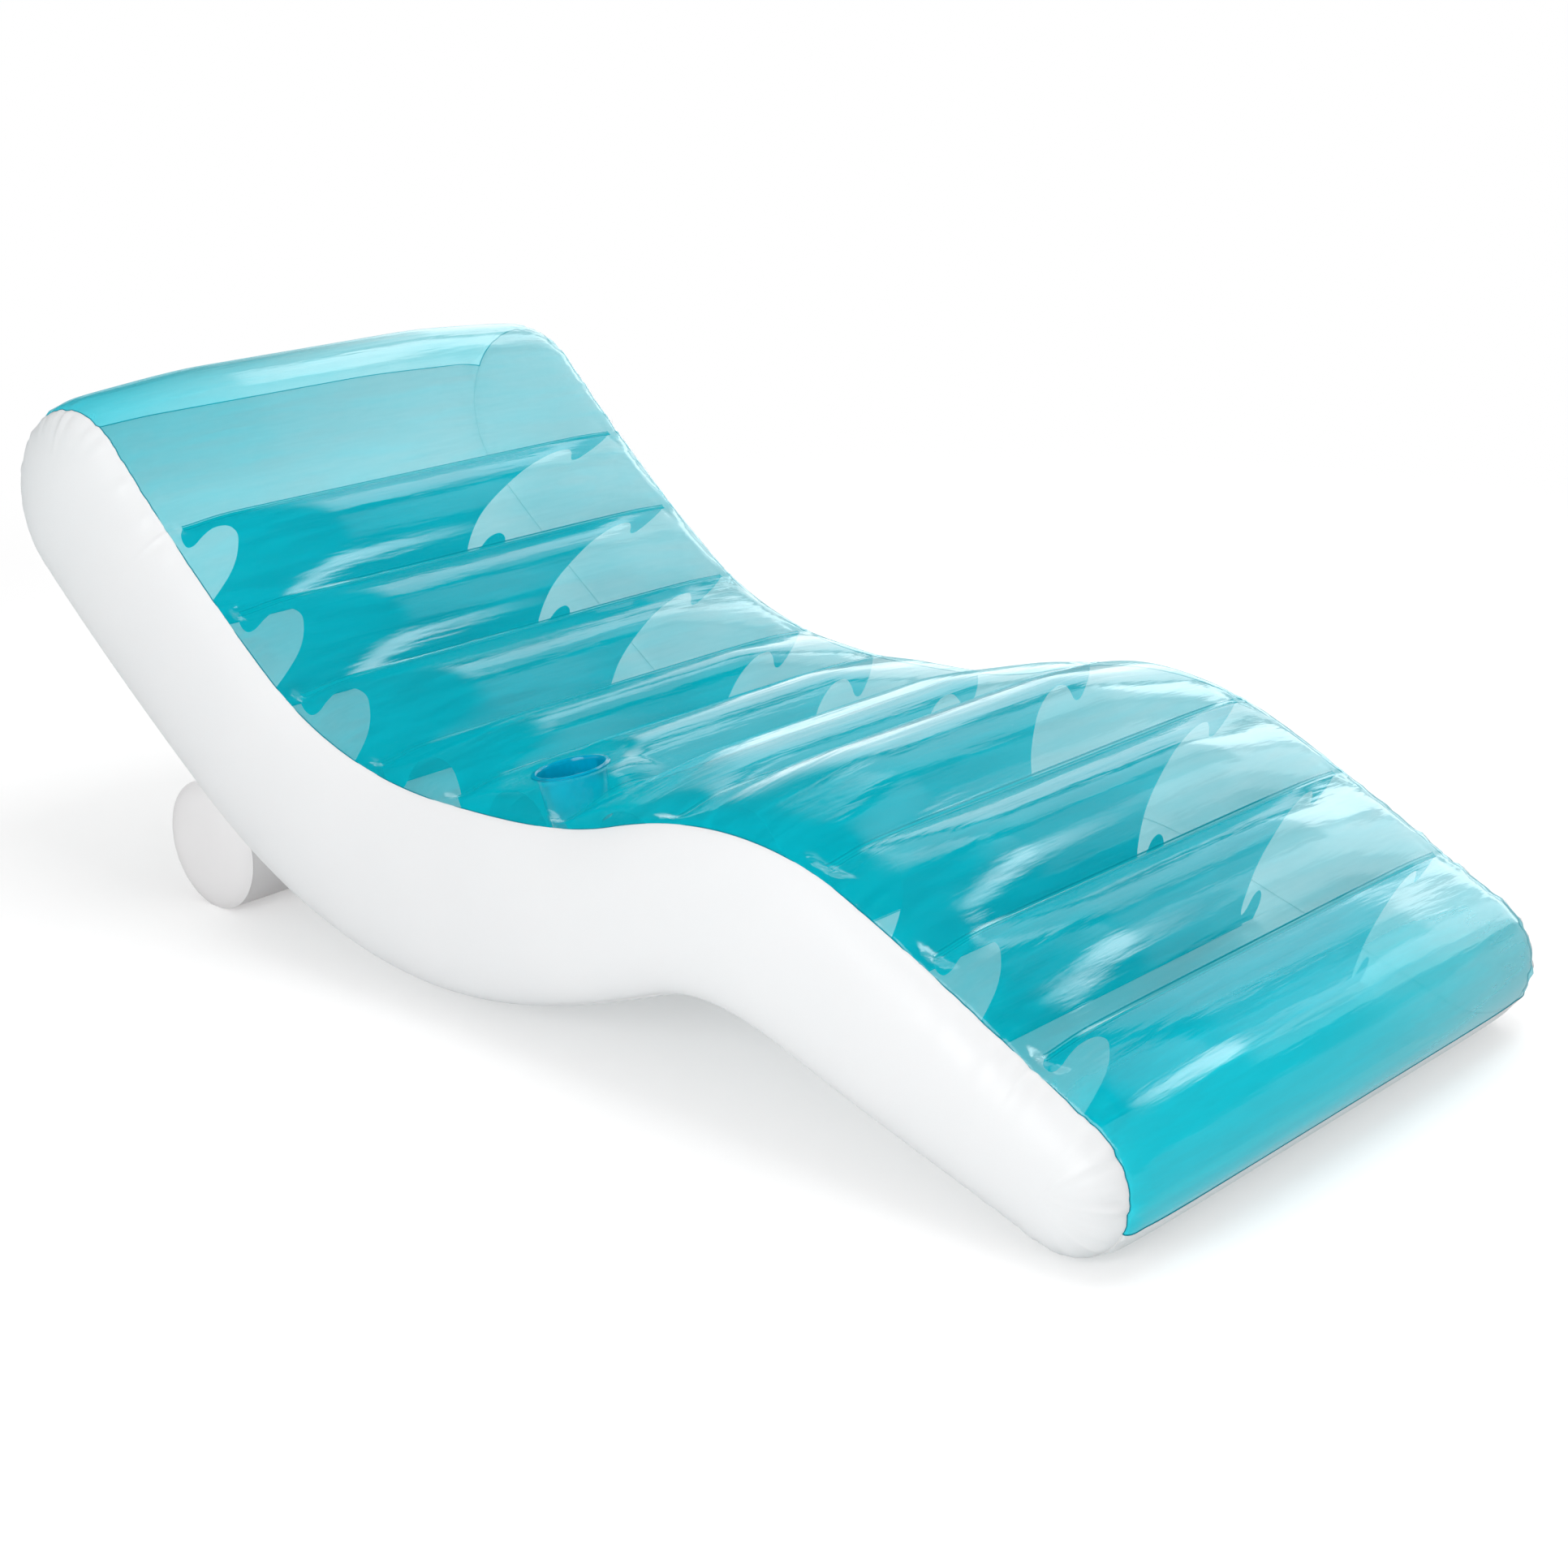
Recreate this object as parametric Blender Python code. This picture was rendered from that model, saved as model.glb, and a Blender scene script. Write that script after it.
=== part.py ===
# Inflatable lounge chair for the pool. An S-shaped air mattress of welded vinyl film: a clear top sheet,
# a white bottom sheet, two bulging side panels and ten inner baffles, with a cup holder welded into the
# seat, a round bolster behind the backrest, and an air valve for each of the two chambers.
# Metres. +X towards the foot end, +Y towards the sitter's left, +Z up, and the floor is z = 0.

import math

import bmesh
import bpy
from mathutils import Matrix, Vector

for old in list(bpy.data.objects):
    bpy.data.objects.remove(old, do_unlink=True)

# The side profile: a spine of five arcs laid end to end, from the middle of the headrest to the foot end
BACK_UPPER_LENGTH = 0.434
BACK_LOWER_LENGTH = 0.463
THIGH_LENGTH = 0.339
KNEE_LENGTH = 0.296
LEG_LENGTH = 0.384
HEAD_SLOPE_DEG = -43.1
BACK_UPPER_TURN_DEG = 7.3
BACK_LOWER_TURN_DEG = 39.1
THIGH_TURN_DEG = 17.2
KNEE_TURN_DEG = -41.8
LEG_TURN_DEG = -0.8

# Thickness between the top and bottom seam lines, where the arcs meet
HEAD_THICKNESS = 0.274
BACK_THICKNESS = 0.250
SEAT_THICKNESS = 0.258
THIGH_THICKNESS = 0.209
KNEE_THICKNESS = 0.227
FOOT_THICKNESS = 0.170

# Across the chair
SEAM_WIDTH = 0.860  # between the two side seams
WELD_LENGTH = 0.811  # of each crease on the top sheet
PANEL_BULGE = 0.048  # how far a side panel swells past its seam

# Air chambers between the creases
TOP_CROWN = 0.032
BOTTOM_CROWN = 0.022
TOP_WELD_RISE = 0.012  # how far a crease lies outside the seam line
BOTTOM_WELD_RISE = 0.006
weld_place_shares = (0.084, 0.168, 0.256, 0.368, 0.465, 0.582, 0.684, 0.782, 0.865, 0.953)
top_crown_shares = (0.55, 0.85, 0.85, 0.95, 1.0, 1.0, 1.0, 1.0, 1.0, 0.9, 0.65)
bottom_crown_shares = (0.8, 0.8, 0.7, 0.9, 1.0, 0.9, 0.8, 0.8, 0.7, 0.4, 0.0)

# Film and joins
FILM = 0.0004
SEAM_GAP = 0.0008  # between sheets that meet at a weld
FIT_GAP = 0.0003  # between a piece and what it seats on
sheet_part_welds = (4, 7)  # creases where the back, seat and leg parts of each sheet meet
sheet_part_names = ("back", "seat", "leg")
HEAD_SEAM_DEG = 105.0  # where the clear film ends on the back of the headrest, from the top of its roll
FOOT_SEAM_DEG = 93.0  # and at the foot end
REST_FLAT = 0.020  # width of the strip that the foot end stands on

# Inner baffles
BOTTOM_WELD_LENGTH = 0.660
BAFFLE_CLEARANCE = 0.0009  # from the outside of a crease to the baffle's edge
notch_outline_shares = (  # along the half length, then down the height
    (0.985, 0.085), (0.935, 0.215), (0.905, 0.215), (0.865, 0.130), (0.810, 0.105), (0.745, 0.140),
    (0.695, 0.260), (0.660, 0.400), (0.590, 0.560), (0.550, 0.700), (0.560, 0.820), (0.610, 0.905),
    (0.665, 0.925), (0.700, 0.860), (0.735, 0.800), (0.785, 0.820), (0.815, 0.890),
)

# Cup holder
CUP_BORE = 0.090
CUP_DEPTH = 0.068
CUP_WALL = 0.0006
CUP_LIP_WIDTH = 0.007
CUP_TAPER = 0.008  # how much narrower the bore is at its floor
CUP_LEAN_BACK_DEG = 10.0
CUP_LEAN_OUT_DEG = 5.0
CUP_CHAMBER = 5

# Bolster
BOLSTER_RADIUS = 0.095
BOLSTER_LENGTH = 0.792
BOLSTER_BULGE = 0.016
BOLSTER_SIDES = 32
bolster_place_share = 0.238  # along the spine, where it touches the underside

# Air valves
FLANGE_RADIUS = 0.022
FLANGE_THICKNESS = 0.0012
FLANGE_COLLAR_HEIGHT = 0.003
FLANGE_COLLAR_WALL = 0.002
STEM_RADIUS = 0.011
STEM_WALL = 0.0032
STEM_OUT = 0.0140  # height of the pulled-out stem above the film
STEM_IN = 0.0120  # its length below the film
STEM_COLLAR_RADIUS = 0.0126
STEM_COLLAR_HEIGHT = 0.0018
STEM_LEDGE = 0.0018  # ring at the inner end that the flap closes against
RUN_GAP = 0.0004  # around the stem in its flange
HINGE_REACH = 0.0155  # from the valve's centre line to the bend of the strap
STRAP_WIDTH = 0.007
STRAP_THICKNESS = 0.0009
PLUG_CAP_RADIUS = 0.0105
PLUG_CAP_THICKNESS = 0.0020
PLUG_DEPTH = 0.0060
plug_taper_share = 0.86  # radius of the plug's tip
PLUG_GAP = 0.0004
PLUG_PULL_LENGTH = 0.006  # the finger tab opposite the strap
FLAP_RADIUS = 0.0078
FLAP_THICKNESS = 0.0006
FLAP_TAB_WIDTH = 0.005
VALVE_CHAMBER = 1  # chamber of the bottom sheet that carries the main valve
ROUND_SIDES = 28

# Mesh steps
chamber_steps = 4
headrest_steps = 3
foot_steps = 2
head_roll_steps = (6, 4)  # of the clear film, then of the white film
foot_roll_steps = (5, 3)
column_weld_shares = (0.0, 0.573, 0.891, 1.0)  # of the half crease
ring_shares = (0.42, 0.8, 1.0)
bolster_ring_shares = (0.92, 0.72)

# Outline rules, as powers of the share of the half width
SHOULDER_POWER = 24
CROWN_FALL_POWER = 0.6
PANEL_POWER = 0.6
END_CROWN_POWER = 3

SEAM_HALF = SEAM_WIDTH / 2
run_lengths = (BACK_UPPER_LENGTH, BACK_LOWER_LENGTH, THIGH_LENGTH, KNEE_LENGTH, LEG_LENGTH)
run_turns = (BACK_UPPER_TURN_DEG, BACK_LOWER_TURN_DEG, THIGH_TURN_DEG, KNEE_TURN_DEG, LEG_TURN_DEG)
knot_thicknesses = (HEAD_THICKNESS, BACK_THICKNESS, SEAT_THICKNESS, THIGH_THICKNESS, KNEE_THICKNESS,
                    FOOT_THICKNESS)
SPINE_LENGTH = sum(run_lengths)
weld_places = [share * SPINE_LENGTH for share in weld_place_shares]
weld_share = WELD_LENGTH / SEAM_WIDTH
column_shares = [share * weld_share for share in column_weld_shares] + [1.0]
columns = [-share for share in reversed(column_shares[1:])] + column_shares


def spine_at(place):
    """Point and heading of the spine at a distance along it."""
    x = z = 0.0
    heading = math.radians(HEAD_SLOPE_DEG)
    left = place
    for length, turn in zip(run_lengths, run_turns):
        step = min(left, length)
        rate = math.radians(turn) / length
        x += (math.sin(heading + rate * step) - math.sin(heading)) / rate
        z -= (math.cos(heading + rate * step) - math.cos(heading)) / rate
        heading += rate * step
        left -= step
        if left <= 0:
            break
    return x, z, heading


def thickness_at(place):
    """Thickness at a distance along the spine, on a smooth curve through the knots."""
    knots = [0.0]
    for length in run_lengths:
        knots.append(knots[-1] + length)
    last = len(knots) - 1
    slopes = []
    for i in range(len(knots)):
        a, b = max(i - 1, 0), min(i + 1, last)
        slopes.append((knot_thicknesses[b] - knot_thicknesses[a]) / (knots[b] - knots[a]))
    i = max(k for k in range(last) if place >= knots[k] or k == 0)
    span = knots[i + 1] - knots[i]
    u = min(max((place - knots[i]) / span, 0.0), 1.0)
    first, second = knot_thicknesses[i], knot_thicknesses[i + 1]
    return (
        (2 * u**3 - 3 * u**2 + 1) * first
        + (u**3 - 2 * u**2 + u) * span * slopes[i]
        + (3 * u**2 - 2 * u**3) * second
        + (u**3 - u**2) * span * slopes[i + 1]
    )


class Station:
    """A place on the closed side profile: its seam point, outward direction, and how far the film swells."""

    def __init__(self, x, z, nx, nz, rise, crown):
        self.x, self.z, self.nx, self.nz = x, z, nx, nz
        self.rise, self.crown = rise, crown

    def point(self, share):
        """Film surface at a share of the half width, before the chair is put in its place."""
        height = self.rise * shoulder(share) + self.crown * crown_fall(share)
        y = share * (SEAM_HALF - SEAM_GAP)
        return Vector((self.x + self.nx * height, y, self.z + self.nz * height))


def shoulder(share):
    return math.sqrt(max(1.0 - abs(share) ** SHOULDER_POWER, 0.0))


def crown_fall(share):
    return max(1.0 - share * share, 0.0) ** CROWN_FALL_POWER


def face_station(place, side, crown):
    """A station on the top (side 1) or the underside (side -1)."""
    x, z, heading = spine_at(place)
    nx, nz = -math.sin(heading) * side, math.cos(heading) * side
    half = thickness_at(place) / 2
    rise = TOP_WELD_RISE if side > 0 else BOTTOM_WELD_RISE
    return Station(x + nx * half, z + nz * half, nx, nz, rise, crown)


def cap_station(end, angle_deg, crown):
    """A station on the roll at the head (end -1) or foot (end 1), by its angle from the top."""
    place = 0.0 if end < 0 else SPINE_LENGTH
    x, z, heading = spine_at(place)
    a = math.radians(angle_deg)
    nx = -math.sin(heading) * math.cos(a) + end * math.cos(heading) * math.sin(a)
    nz = math.cos(heading) * math.cos(a) + end * math.sin(heading) * math.sin(a)
    half = thickness_at(place) / 2
    below = min(angle_deg / (180.0 if end < 0 else foot_rest_degs[0]), 1.0)
    rise = TOP_WELD_RISE + (BOTTOM_WELD_RISE - TOP_WELD_RISE) * below
    return Station(x + nx * half, z + nz * half, nx, nz, rise, crown)


def spread(first, last, steps):
    return [first + (last - first) * i / steps for i in range(steps + 1)]


def head_crown(way):
    """Swell of the headrest, by the way along the profile from the first crease above to the one below."""
    whole = 2 * weld_places[0] + math.pi * HEAD_THICKNESS / 2
    share = abs(2 * way / whole - 1.0)
    below = min(max(way / whole, 0.0), 1.0)
    high = TOP_CROWN * top_crown_shares[0] * (1 - below) + BOTTOM_CROWN * bottom_crown_shares[0] * below
    return high * (1.0 - share**END_CROWN_POWER)


def head_cap(first_deg, last_deg, steps):
    roll = HEAD_THICKNESS / 2
    return [cap_station(-1, a, head_crown(weld_places[0] + math.radians(a) * roll))
            for a in spread(first_deg, last_deg, steps)]


def chamber_rows(side, index):
    """Stations of one chamber between two creases, with the first crease and without the second."""
    first, last = weld_places[index - 1], weld_places[index]
    high = (TOP_CROWN * top_crown_shares[index] if side > 0 else BOTTOM_CROWN * bottom_crown_shares[index])
    rows = []
    for place in spread(first, last, chamber_steps)[:-1]:
        share = 2 * (place - first) / (last - first) - 1
        rows.append(face_station(place, side, high * (1 - share * share)))
    return rows


def headrest_rows(side):
    """Stations of the headrest between its roll and the first crease."""
    rows = []
    for place in spread(0.0, weld_places[0], headrest_steps)[1:-1]:
        way = weld_places[0] - place if side > 0 else weld_places[0] + math.pi * HEAD_THICKNESS / 2 + place
        rows.append(face_station(place, side, head_crown(way)))
    return rows


# The foot end stands on two neighbouring stations at one height, either side of its lowest line
foot_heading = spine_at(SPINE_LENGTH)[2]
low_deg = 180.0 + math.degrees(foot_heading)
flat_half_deg = math.degrees(math.asin(REST_FLAT / 2 / (FOOT_THICKNESS / 2 + BOTTOM_WELD_RISE)))
foot_rest_degs = (low_deg - flat_half_deg, low_deg + flat_half_deg)
head_cap_top_degs = spread(0.0, HEAD_SEAM_DEG, head_roll_steps[0])
head_cap_low_degs = spread(HEAD_SEAM_DEG, 180.0, head_roll_steps[1])
foot_cap_top_degs = spread(0.0, FOOT_SEAM_DEG, foot_roll_steps[0])
foot_cap_low_degs = [*spread(FOOT_SEAM_DEG, foot_rest_degs[0], foot_roll_steps[1]), foot_rest_degs[1], 180.0]


def foot_crown(way):
    """Swell of the last chamber on top, by the way along the profile from the last crease to the seam."""
    whole = SPINE_LENGTH - weld_places[-1] + math.radians(FOOT_SEAM_DEG) * FOOT_THICKNESS / 2
    share = 2 * way / whole - 1.0
    return TOP_CROWN * top_crown_shares[-1] * max(1.0 - share * share, 0.0)


def top_stations():
    """From the seam behind the headrest, over the top and down to the seam at the foot end."""
    seam_inset = math.degrees(SEAM_GAP / 2 / (HEAD_THICKNESS / 2))
    rows = head_cap(0.0, HEAD_SEAM_DEG - seam_inset, len(head_cap_top_degs) - 1)[::-1]
    rows += headrest_rows(1)
    for index in range(1, len(weld_places)):
        rows += chamber_rows(1, index)
    tail = SPINE_LENGTH - weld_places[-1]
    for place in spread(weld_places[-1], SPINE_LENGTH, foot_steps)[:-1]:
        rows.append(face_station(place, 1, foot_crown(place - weld_places[-1])))
    seam_inset = math.degrees(SEAM_GAP / 2 / (FOOT_THICKNESS / 2))
    for a in spread(0.0, FOOT_SEAM_DEG - seam_inset, len(foot_cap_top_degs) - 1):
        rows.append(cap_station(1, a, foot_crown(tail + math.radians(a) * FOOT_THICKNESS / 2)))
    return rows


def bottom_stations():
    """From the seam behind the headrest, down the back and under the chair to the seam at the foot end."""
    seam_inset = math.degrees(SEAM_GAP / 2 / (HEAD_THICKNESS / 2))
    rows = head_cap(HEAD_SEAM_DEG + seam_inset, 180.0, len(head_cap_low_degs) - 1)
    rows += headrest_rows(-1)
    for index in range(1, len(weld_places)):
        rows += chamber_rows(-1, index)
    for place in spread(weld_places[-1], SPINE_LENGTH, foot_steps)[:-1]:
        rows.append(face_station(place, -1, 0.0))
    seam_inset = math.degrees(SEAM_GAP / 2 / (FOOT_THICKNESS / 2))
    for a in reversed(foot_cap_low_degs):
        rows.append(cap_station(1, a if a > FOOT_SEAM_DEG else a + seam_inset, 0.0))
    return rows


# Where the whole chair stands: its lowest line on the floor, and its length centred on x = 0
all_rows = top_stations() + bottom_stations()
middle_xs = [row.point(0.0).x for row in all_rows]
floor_z = cap_station(1, foot_rest_degs[0], 0.0).point(0.0).z
STAND = Vector((-(min(middle_xs) + max(middle_xs)) / 2, 0.0, -floor_z))


def material(name, colour, roughness, alpha=1.0):
    """A Principled material: colour, roughness and, for the clear film, alpha."""
    mat = bpy.data.materials.new(name)
    mat.use_nodes = True
    shader = mat.node_tree.nodes["Principled BSDF"]
    shader.inputs["Base Color"].default_value = (*colour, 1.0)
    shader.inputs["Roughness"].default_value = roughness
    shader.inputs["Metallic"].default_value = 0.0
    shader.inputs["Alpha"].default_value = alpha
    mat.diffuse_color = (*colour, alpha)
    return mat


TURQUOISE = (0.10, 0.62, 0.70)
DEEP_TURQUOISE = (0.0, 0.38, 0.50)
WHITE = (0.86, 0.87, 0.88)
OFF_WHITE = (0.78, 0.79, 0.80)
CUP_BLUE = (0.0, 0.40, 0.65)
VALVE_CLEAR = (0.70, 0.78, 0.80)


def finish(obj_name, bm, mat, place=None, smooth=True):
    """Turns a bmesh into a named object with its material."""
    mesh = bpy.data.meshes.new(obj_name)
    bm.to_mesh(mesh)
    bm.free()
    if smooth:
        mesh.shade_smooth()
        mesh.set_sharp_from_angle(angle=math.radians(40))
    mesh.materials.append(mat)
    obj = bpy.data.objects.new(obj_name, mesh)
    bpy.context.scene.collection.objects.link(obj)
    if place is not None:
        obj.matrix_world = place
    return obj


def solidify(obj, thickness):
    """Gives a film its thickness, inwards from its outer face."""
    mod = obj.modifiers.new("film", "SOLIDIFY")
    mod.thickness = thickness
    mod.offset = -1.0
    mod.use_even_offset = True
    mod.use_rim = True


def cut(obj, cutter):
    """Subtracts a hidden cutter."""
    cutter.hide_render = True
    cutter.display_type = "WIRE"
    mod = obj.modifiers.new("cut", "BOOLEAN")
    mod.operation = "DIFFERENCE"
    mod.solver = "EXACT"
    mod.object = cutter


def disc_cutter(name, radius, height, place):
    bm = bmesh.new()
    bmesh.ops.create_cone(bm, cap_ends=True, segments=ROUND_SIDES, radius1=radius, radius2=radius,
                          depth=height)
    return finish(name, bm, material(name, OFF_WHITE, 0.5), place, smooth=False)


def level_patch(grid, rows, cols, direction):
    """Draws the film's corners in rows and cols onto one flat patch and returns a frame on its middle."""
    corners = [grid[r][c] for r in rows for c in cols]
    middle = sum((v.co for v in corners), Vector()) / len(corners)
    for v in corners:
        v.co -= direction * (v.co - middle).dot(direction)
    side = Vector((0.0, 1.0, 0.0)).cross(direction).normalized()
    frame = Matrix((side, direction.cross(side), direction)).transposed().to_4x4()
    frame.translation = middle
    return frame


def film_grid(bm, stations, outward):
    """A sheet of film over the stations and columns, its faces turned outwards."""
    grid = [[bm.verts.new(row.point(share) + STAND) for share in columns] for row in stations]
    for low, high in zip(grid, grid[1:]):
        for c in range(len(columns) - 1):
            corners = [low[c], low[c + 1], high[c + 1], high[c]]
            bm.faces.new(corners if outward else corners[::-1])
    return grid


def row_of_chamber(stations, side, index):
    """Number of the row where a chamber starts."""
    start = face_station(weld_places[index - 1], side, 0.0)
    gaps = [(row.x - start.x) ** 2 + (row.z - start.z) ** 2 for row in stations]
    return gaps.index(min(gaps))


def sheet_parts(stations, side):
    """The rows of a whole sheet, parted at two creases into its back, seat and leg parts."""
    parts, rest = [], stations
    for weld in sheet_part_welds:
        row = row_of_chamber(rest, side, weld)
        place = weld_places[weld - 1]
        parts.append(rest[:row] + [face_station(place - SEAM_GAP / 2, side, 0.0)])
        rest = [face_station(place + SEAM_GAP / 2, side, 0.0)] + rest[row + 1:]
    return zip(sheet_part_names, parts + [rest])


def make_top_sheet():
    """The clear film, with a flat patch and a round hole for the cup holder. Returns the rim's frame."""
    for part_name, stations in sheet_parts(top_stations(), 1):
        bm = bmesh.new()
        grid = film_grid(bm, stations, outward=False)
        rim = None
        if part_name == "seat":
            rim = rim_frame = cup_rim(grid, stations)
        film = material(f"clear_turquoise_film_{part_name}", TURQUOISE, 0.12, 0.45)
        sheet = finish(f"top_sheet_{part_name}", bm, film)
        solidify(sheet, FILM)
        if rim is not None:
            hole = CUP_BORE / 2 + CUP_WALL + FIT_GAP
            cut(sheet, disc_cutter("cup_hole_cutter", hole, CUP_BORE / 2, rim))
    return rim_frame


def cup_rim(grid, stations):
    """Flattens the patch of the film that carries the cup holder, and returns its frame."""
    first = row_of_chamber(stations, 1, CUP_CHAMBER)
    rows = range(first + 1, first + chamber_steps)
    left = columns.index(-column_shares[2])
    right = columns.index(-column_shares[1])
    lean = Matrix.Rotation(math.radians(CUP_LEAN_OUT_DEG), 3, "X")
    lean @= Matrix.Rotation(-math.radians(CUP_LEAN_BACK_DEG), 3, "Y")
    return level_patch(grid, rows, (left, right), lean @ Vector((0.0, 0.0, 1.0)))


def make_bottom_sheet():
    """The white film, with a flat patch and a hole for the main valve. Returns the valve's frame."""
    for part_name, stations in sheet_parts(bottom_stations(), -1):
        bm = bmesh.new()
        grid = film_grid(bm, stations, outward=True)
        seat = None
        if part_name == "back":
            seat = seat_frame = valve_seat(grid, stations)
        sheet = finish(f"bottom_sheet_{part_name}", bm, material(f"white_film_{part_name}", WHITE, 0.35))
        solidify(sheet, FILM)
        if seat is not None:
            cut(sheet, disc_cutter("main_valve_cutter", STEM_RADIUS + RUN_GAP, STEM_RADIUS, seat))
    return seat_frame


def valve_seat(grid, stations):
    """Flattens the patch of the film that carries the main valve, and returns its frame."""
    first = row_of_chamber(stations, -1, VALVE_CHAMBER)
    rows = range(first + 1, first + chamber_steps)
    middle_row = stations[first + chamber_steps // 2]
    left = columns.index(column_shares[1])
    right = columns.index(column_shares[2])
    return level_patch(grid, rows, (left, right), Vector((middle_row.nx, 0.0, middle_row.nz)))


def panel_height(share):
    return PANEL_BULGE * max(1.0 - share * share, 0.0) ** PANEL_POWER


def make_side_panel(name, side):
    """A white side panel: a grid along the spine with a round fan at each end, swelling outwards."""
    bm = bmesh.new()
    places = spread(0.0, weld_places[0], headrest_steps)[:-1]
    for first, last in zip(weld_places, weld_places[1:]):
        places += spread(first, last, chamber_steps)[:-1]
    places += spread(weld_places[-1], SPINE_LENGTH, foot_steps)
    across = [-share for share in reversed(ring_shares)] + [0.0, *ring_shares]

    def vert(x, z, share):
        return bm.verts.new(Vector((x, side * (SEAM_HALF + panel_height(share)), z)) + STAND)

    grid = []
    for place in places:
        x, z, heading = spine_at(place)
        half = thickness_at(place) / 2
        grid.append([vert(x - math.sin(heading) * half * v, z + math.cos(heading) * half * v, v)
                     for v in across])
    for low, high in zip(grid, grid[1:]):
        for c in range(len(across) - 1):
            bm.faces.new((low[c], high[c], high[c + 1], low[c + 1]))
    middle = len(across) // 2
    for end, row, degs in ((-1, grid[0], head_cap_top_degs + head_cap_low_degs[1:]),
                           (1, grid[-1], foot_cap_top_degs + foot_cap_low_degs[1:])):
        place = 0.0 if end < 0 else SPINE_LENGTH
        x, z, _ = spine_at(place)
        rings = []
        for i, share in enumerate(ring_shares):
            ring = [row[middle + 1 + i]]
            for a in degs[1:-1]:
                rim = cap_station(end, a, 0.0)
                ring.append(vert(x + (rim.x - x) * share, z + (rim.z - z) * share, share))
            ring.append(row[middle - 1 - i])
            rings.append(ring)
        for k in range(len(degs) - 1):
            bm.faces.new((row[middle], rings[0][k], rings[0][k + 1]))
            for inner, outer in zip(rings, rings[1:]):
                bm.faces.new((inner[k], outer[k], outer[k + 1], inner[k + 1]))
    bmesh.ops.recalc_face_normals(bm, faces=bm.faces)
    outer_face = max(bm.faces, key=lambda f: side * f.calc_center_median().y)
    if outer_face.normal.y * side < 0:
        bmesh.ops.reverse_faces(bm, faces=bm.faces)
    panel = finish(name, bm, material(name + "_film", WHITE, 0.3))
    solidify(panel, FILM)


def weld_height(share):
    """Share of the weld rise at a share of the half width, straight between the sheets' columns."""
    size = abs(share)
    for near, far in zip(column_shares, column_shares[1:]):
        if size <= far:
            u = (size - near) / (far - near)
            return shoulder(near) * (1 - u) + shoulder(far) * u
    return 0.0


def make_baffle(name, place):
    """A thin web from crease to crease, with a bite out of each end that lets the air through."""
    x, z, heading = spine_at(place)
    half = thickness_at(place) / 2
    inner_half = SEAM_HALF - SEAM_GAP
    top_y = weld_share * inner_half
    low_y = BOTTOM_WELD_LENGTH / 2

    def top_edge(y):
        return half + TOP_WELD_RISE * weld_height(y / inner_half) - BAFFLE_CLEARANCE

    def low_edge(y):
        return -half - BOTTOM_WELD_RISE * weld_height(y / inner_half) + BAFFLE_CLEARANCE

    notch = []
    for along, down in notch_outline_shares:
        y = along * top_y
        notch.append((y, top_edge(y) + (low_edge(y) - top_edge(y)) * down))
    inner = [share * top_y for share in column_weld_shares[1:-1]]
    right = [(y, top_edge(y)) for y in inner] + [(top_y, top_edge(top_y))]
    right += notch + [(low_y, low_edge(low_y))]
    right += [(y, low_edge(y)) for y in reversed(inner) if y < low_y]
    outline = [(0.0, top_edge(0.0))] + right + [(0.0, low_edge(0.0))]
    outline += [(-y, h) for y, h in reversed(right)]
    bm = bmesh.new()
    along = Vector((math.cos(heading), 0.0, math.sin(heading)))
    up = Vector((-math.sin(heading), 0.0, math.cos(heading)))
    origin = Vector((x, 0.0, z)) + STAND - along * FILM / 2
    verts = [bm.verts.new(origin + up * h + Vector((0.0, y, 0.0))) for y, h in outline]
    face = bm.faces.new(verts)
    grown = bmesh.ops.extrude_face_region(bm, geom=[face])
    bmesh.ops.translate(bm, vec=along * FILM, verts=[g for g in grown["geom"]
                                                     if isinstance(g, bmesh.types.BMVert)])
    bmesh.ops.recalc_face_normals(bm, faces=bm.faces)
    finish(name, bm, material(name + "_film", DEEP_TURQUOISE, 0.25), smooth=False)


def turned(name, outline, mat, place=None, sides=ROUND_SIDES, offset_deg=0.0):
    """A solid of revolution about z from a closed outline of (radius, height) points."""
    bm = bmesh.new()
    start = Matrix.Rotation(math.radians(offset_deg), 3, "Z")
    verts = [bm.verts.new(start @ Vector((r, 0.0, h))) for r, h in outline]
    edges = [bm.edges.new((a, b)) for a, b in zip(verts, verts[1:] + verts[:1])]
    bmesh.ops.spin(bm, geom=verts + edges, cent=(0, 0, 0), axis=(0, 0, 1), angle=math.tau, steps=sides,
                   use_merge=True)
    bmesh.ops.recalc_face_normals(bm, faces=bm.faces)
    return finish(name, bm, mat, place)


def make_cup_holder(rim):
    """A tapered well with a lip on the film, and a separate floor welded inside its foot."""
    mat = material("cup_holder_film", CUP_BLUE, 0.15, 0.7)
    top = CUP_BORE / 2
    foot = top - CUP_TAPER / 2
    lip_low, lip_high = FIT_GAP, FIT_GAP + CUP_WALL
    low = lip_high - CUP_DEPTH
    turned("cup_holder_wall", [
        (top, lip_high), (top + CUP_LIP_WIDTH, lip_high), (top + CUP_LIP_WIDTH, lip_low),
        (top + CUP_WALL, lip_low), (foot + CUP_WALL, low), (foot, low),
    ], mat, rim)
    bm = bmesh.new()
    floor_radius = foot - FIT_GAP
    bmesh.ops.create_cone(bm, cap_ends=True, segments=ROUND_SIDES, radius1=floor_radius,
                          radius2=floor_radius, depth=CUP_WALL)
    finish("cup_holder_floor", bm, material("cup_holder_floor_film", CUP_BLUE, 0.15, 0.7),
           rim @ Matrix.Translation((0.0, 0.0, low + CUP_WALL)))


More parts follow.
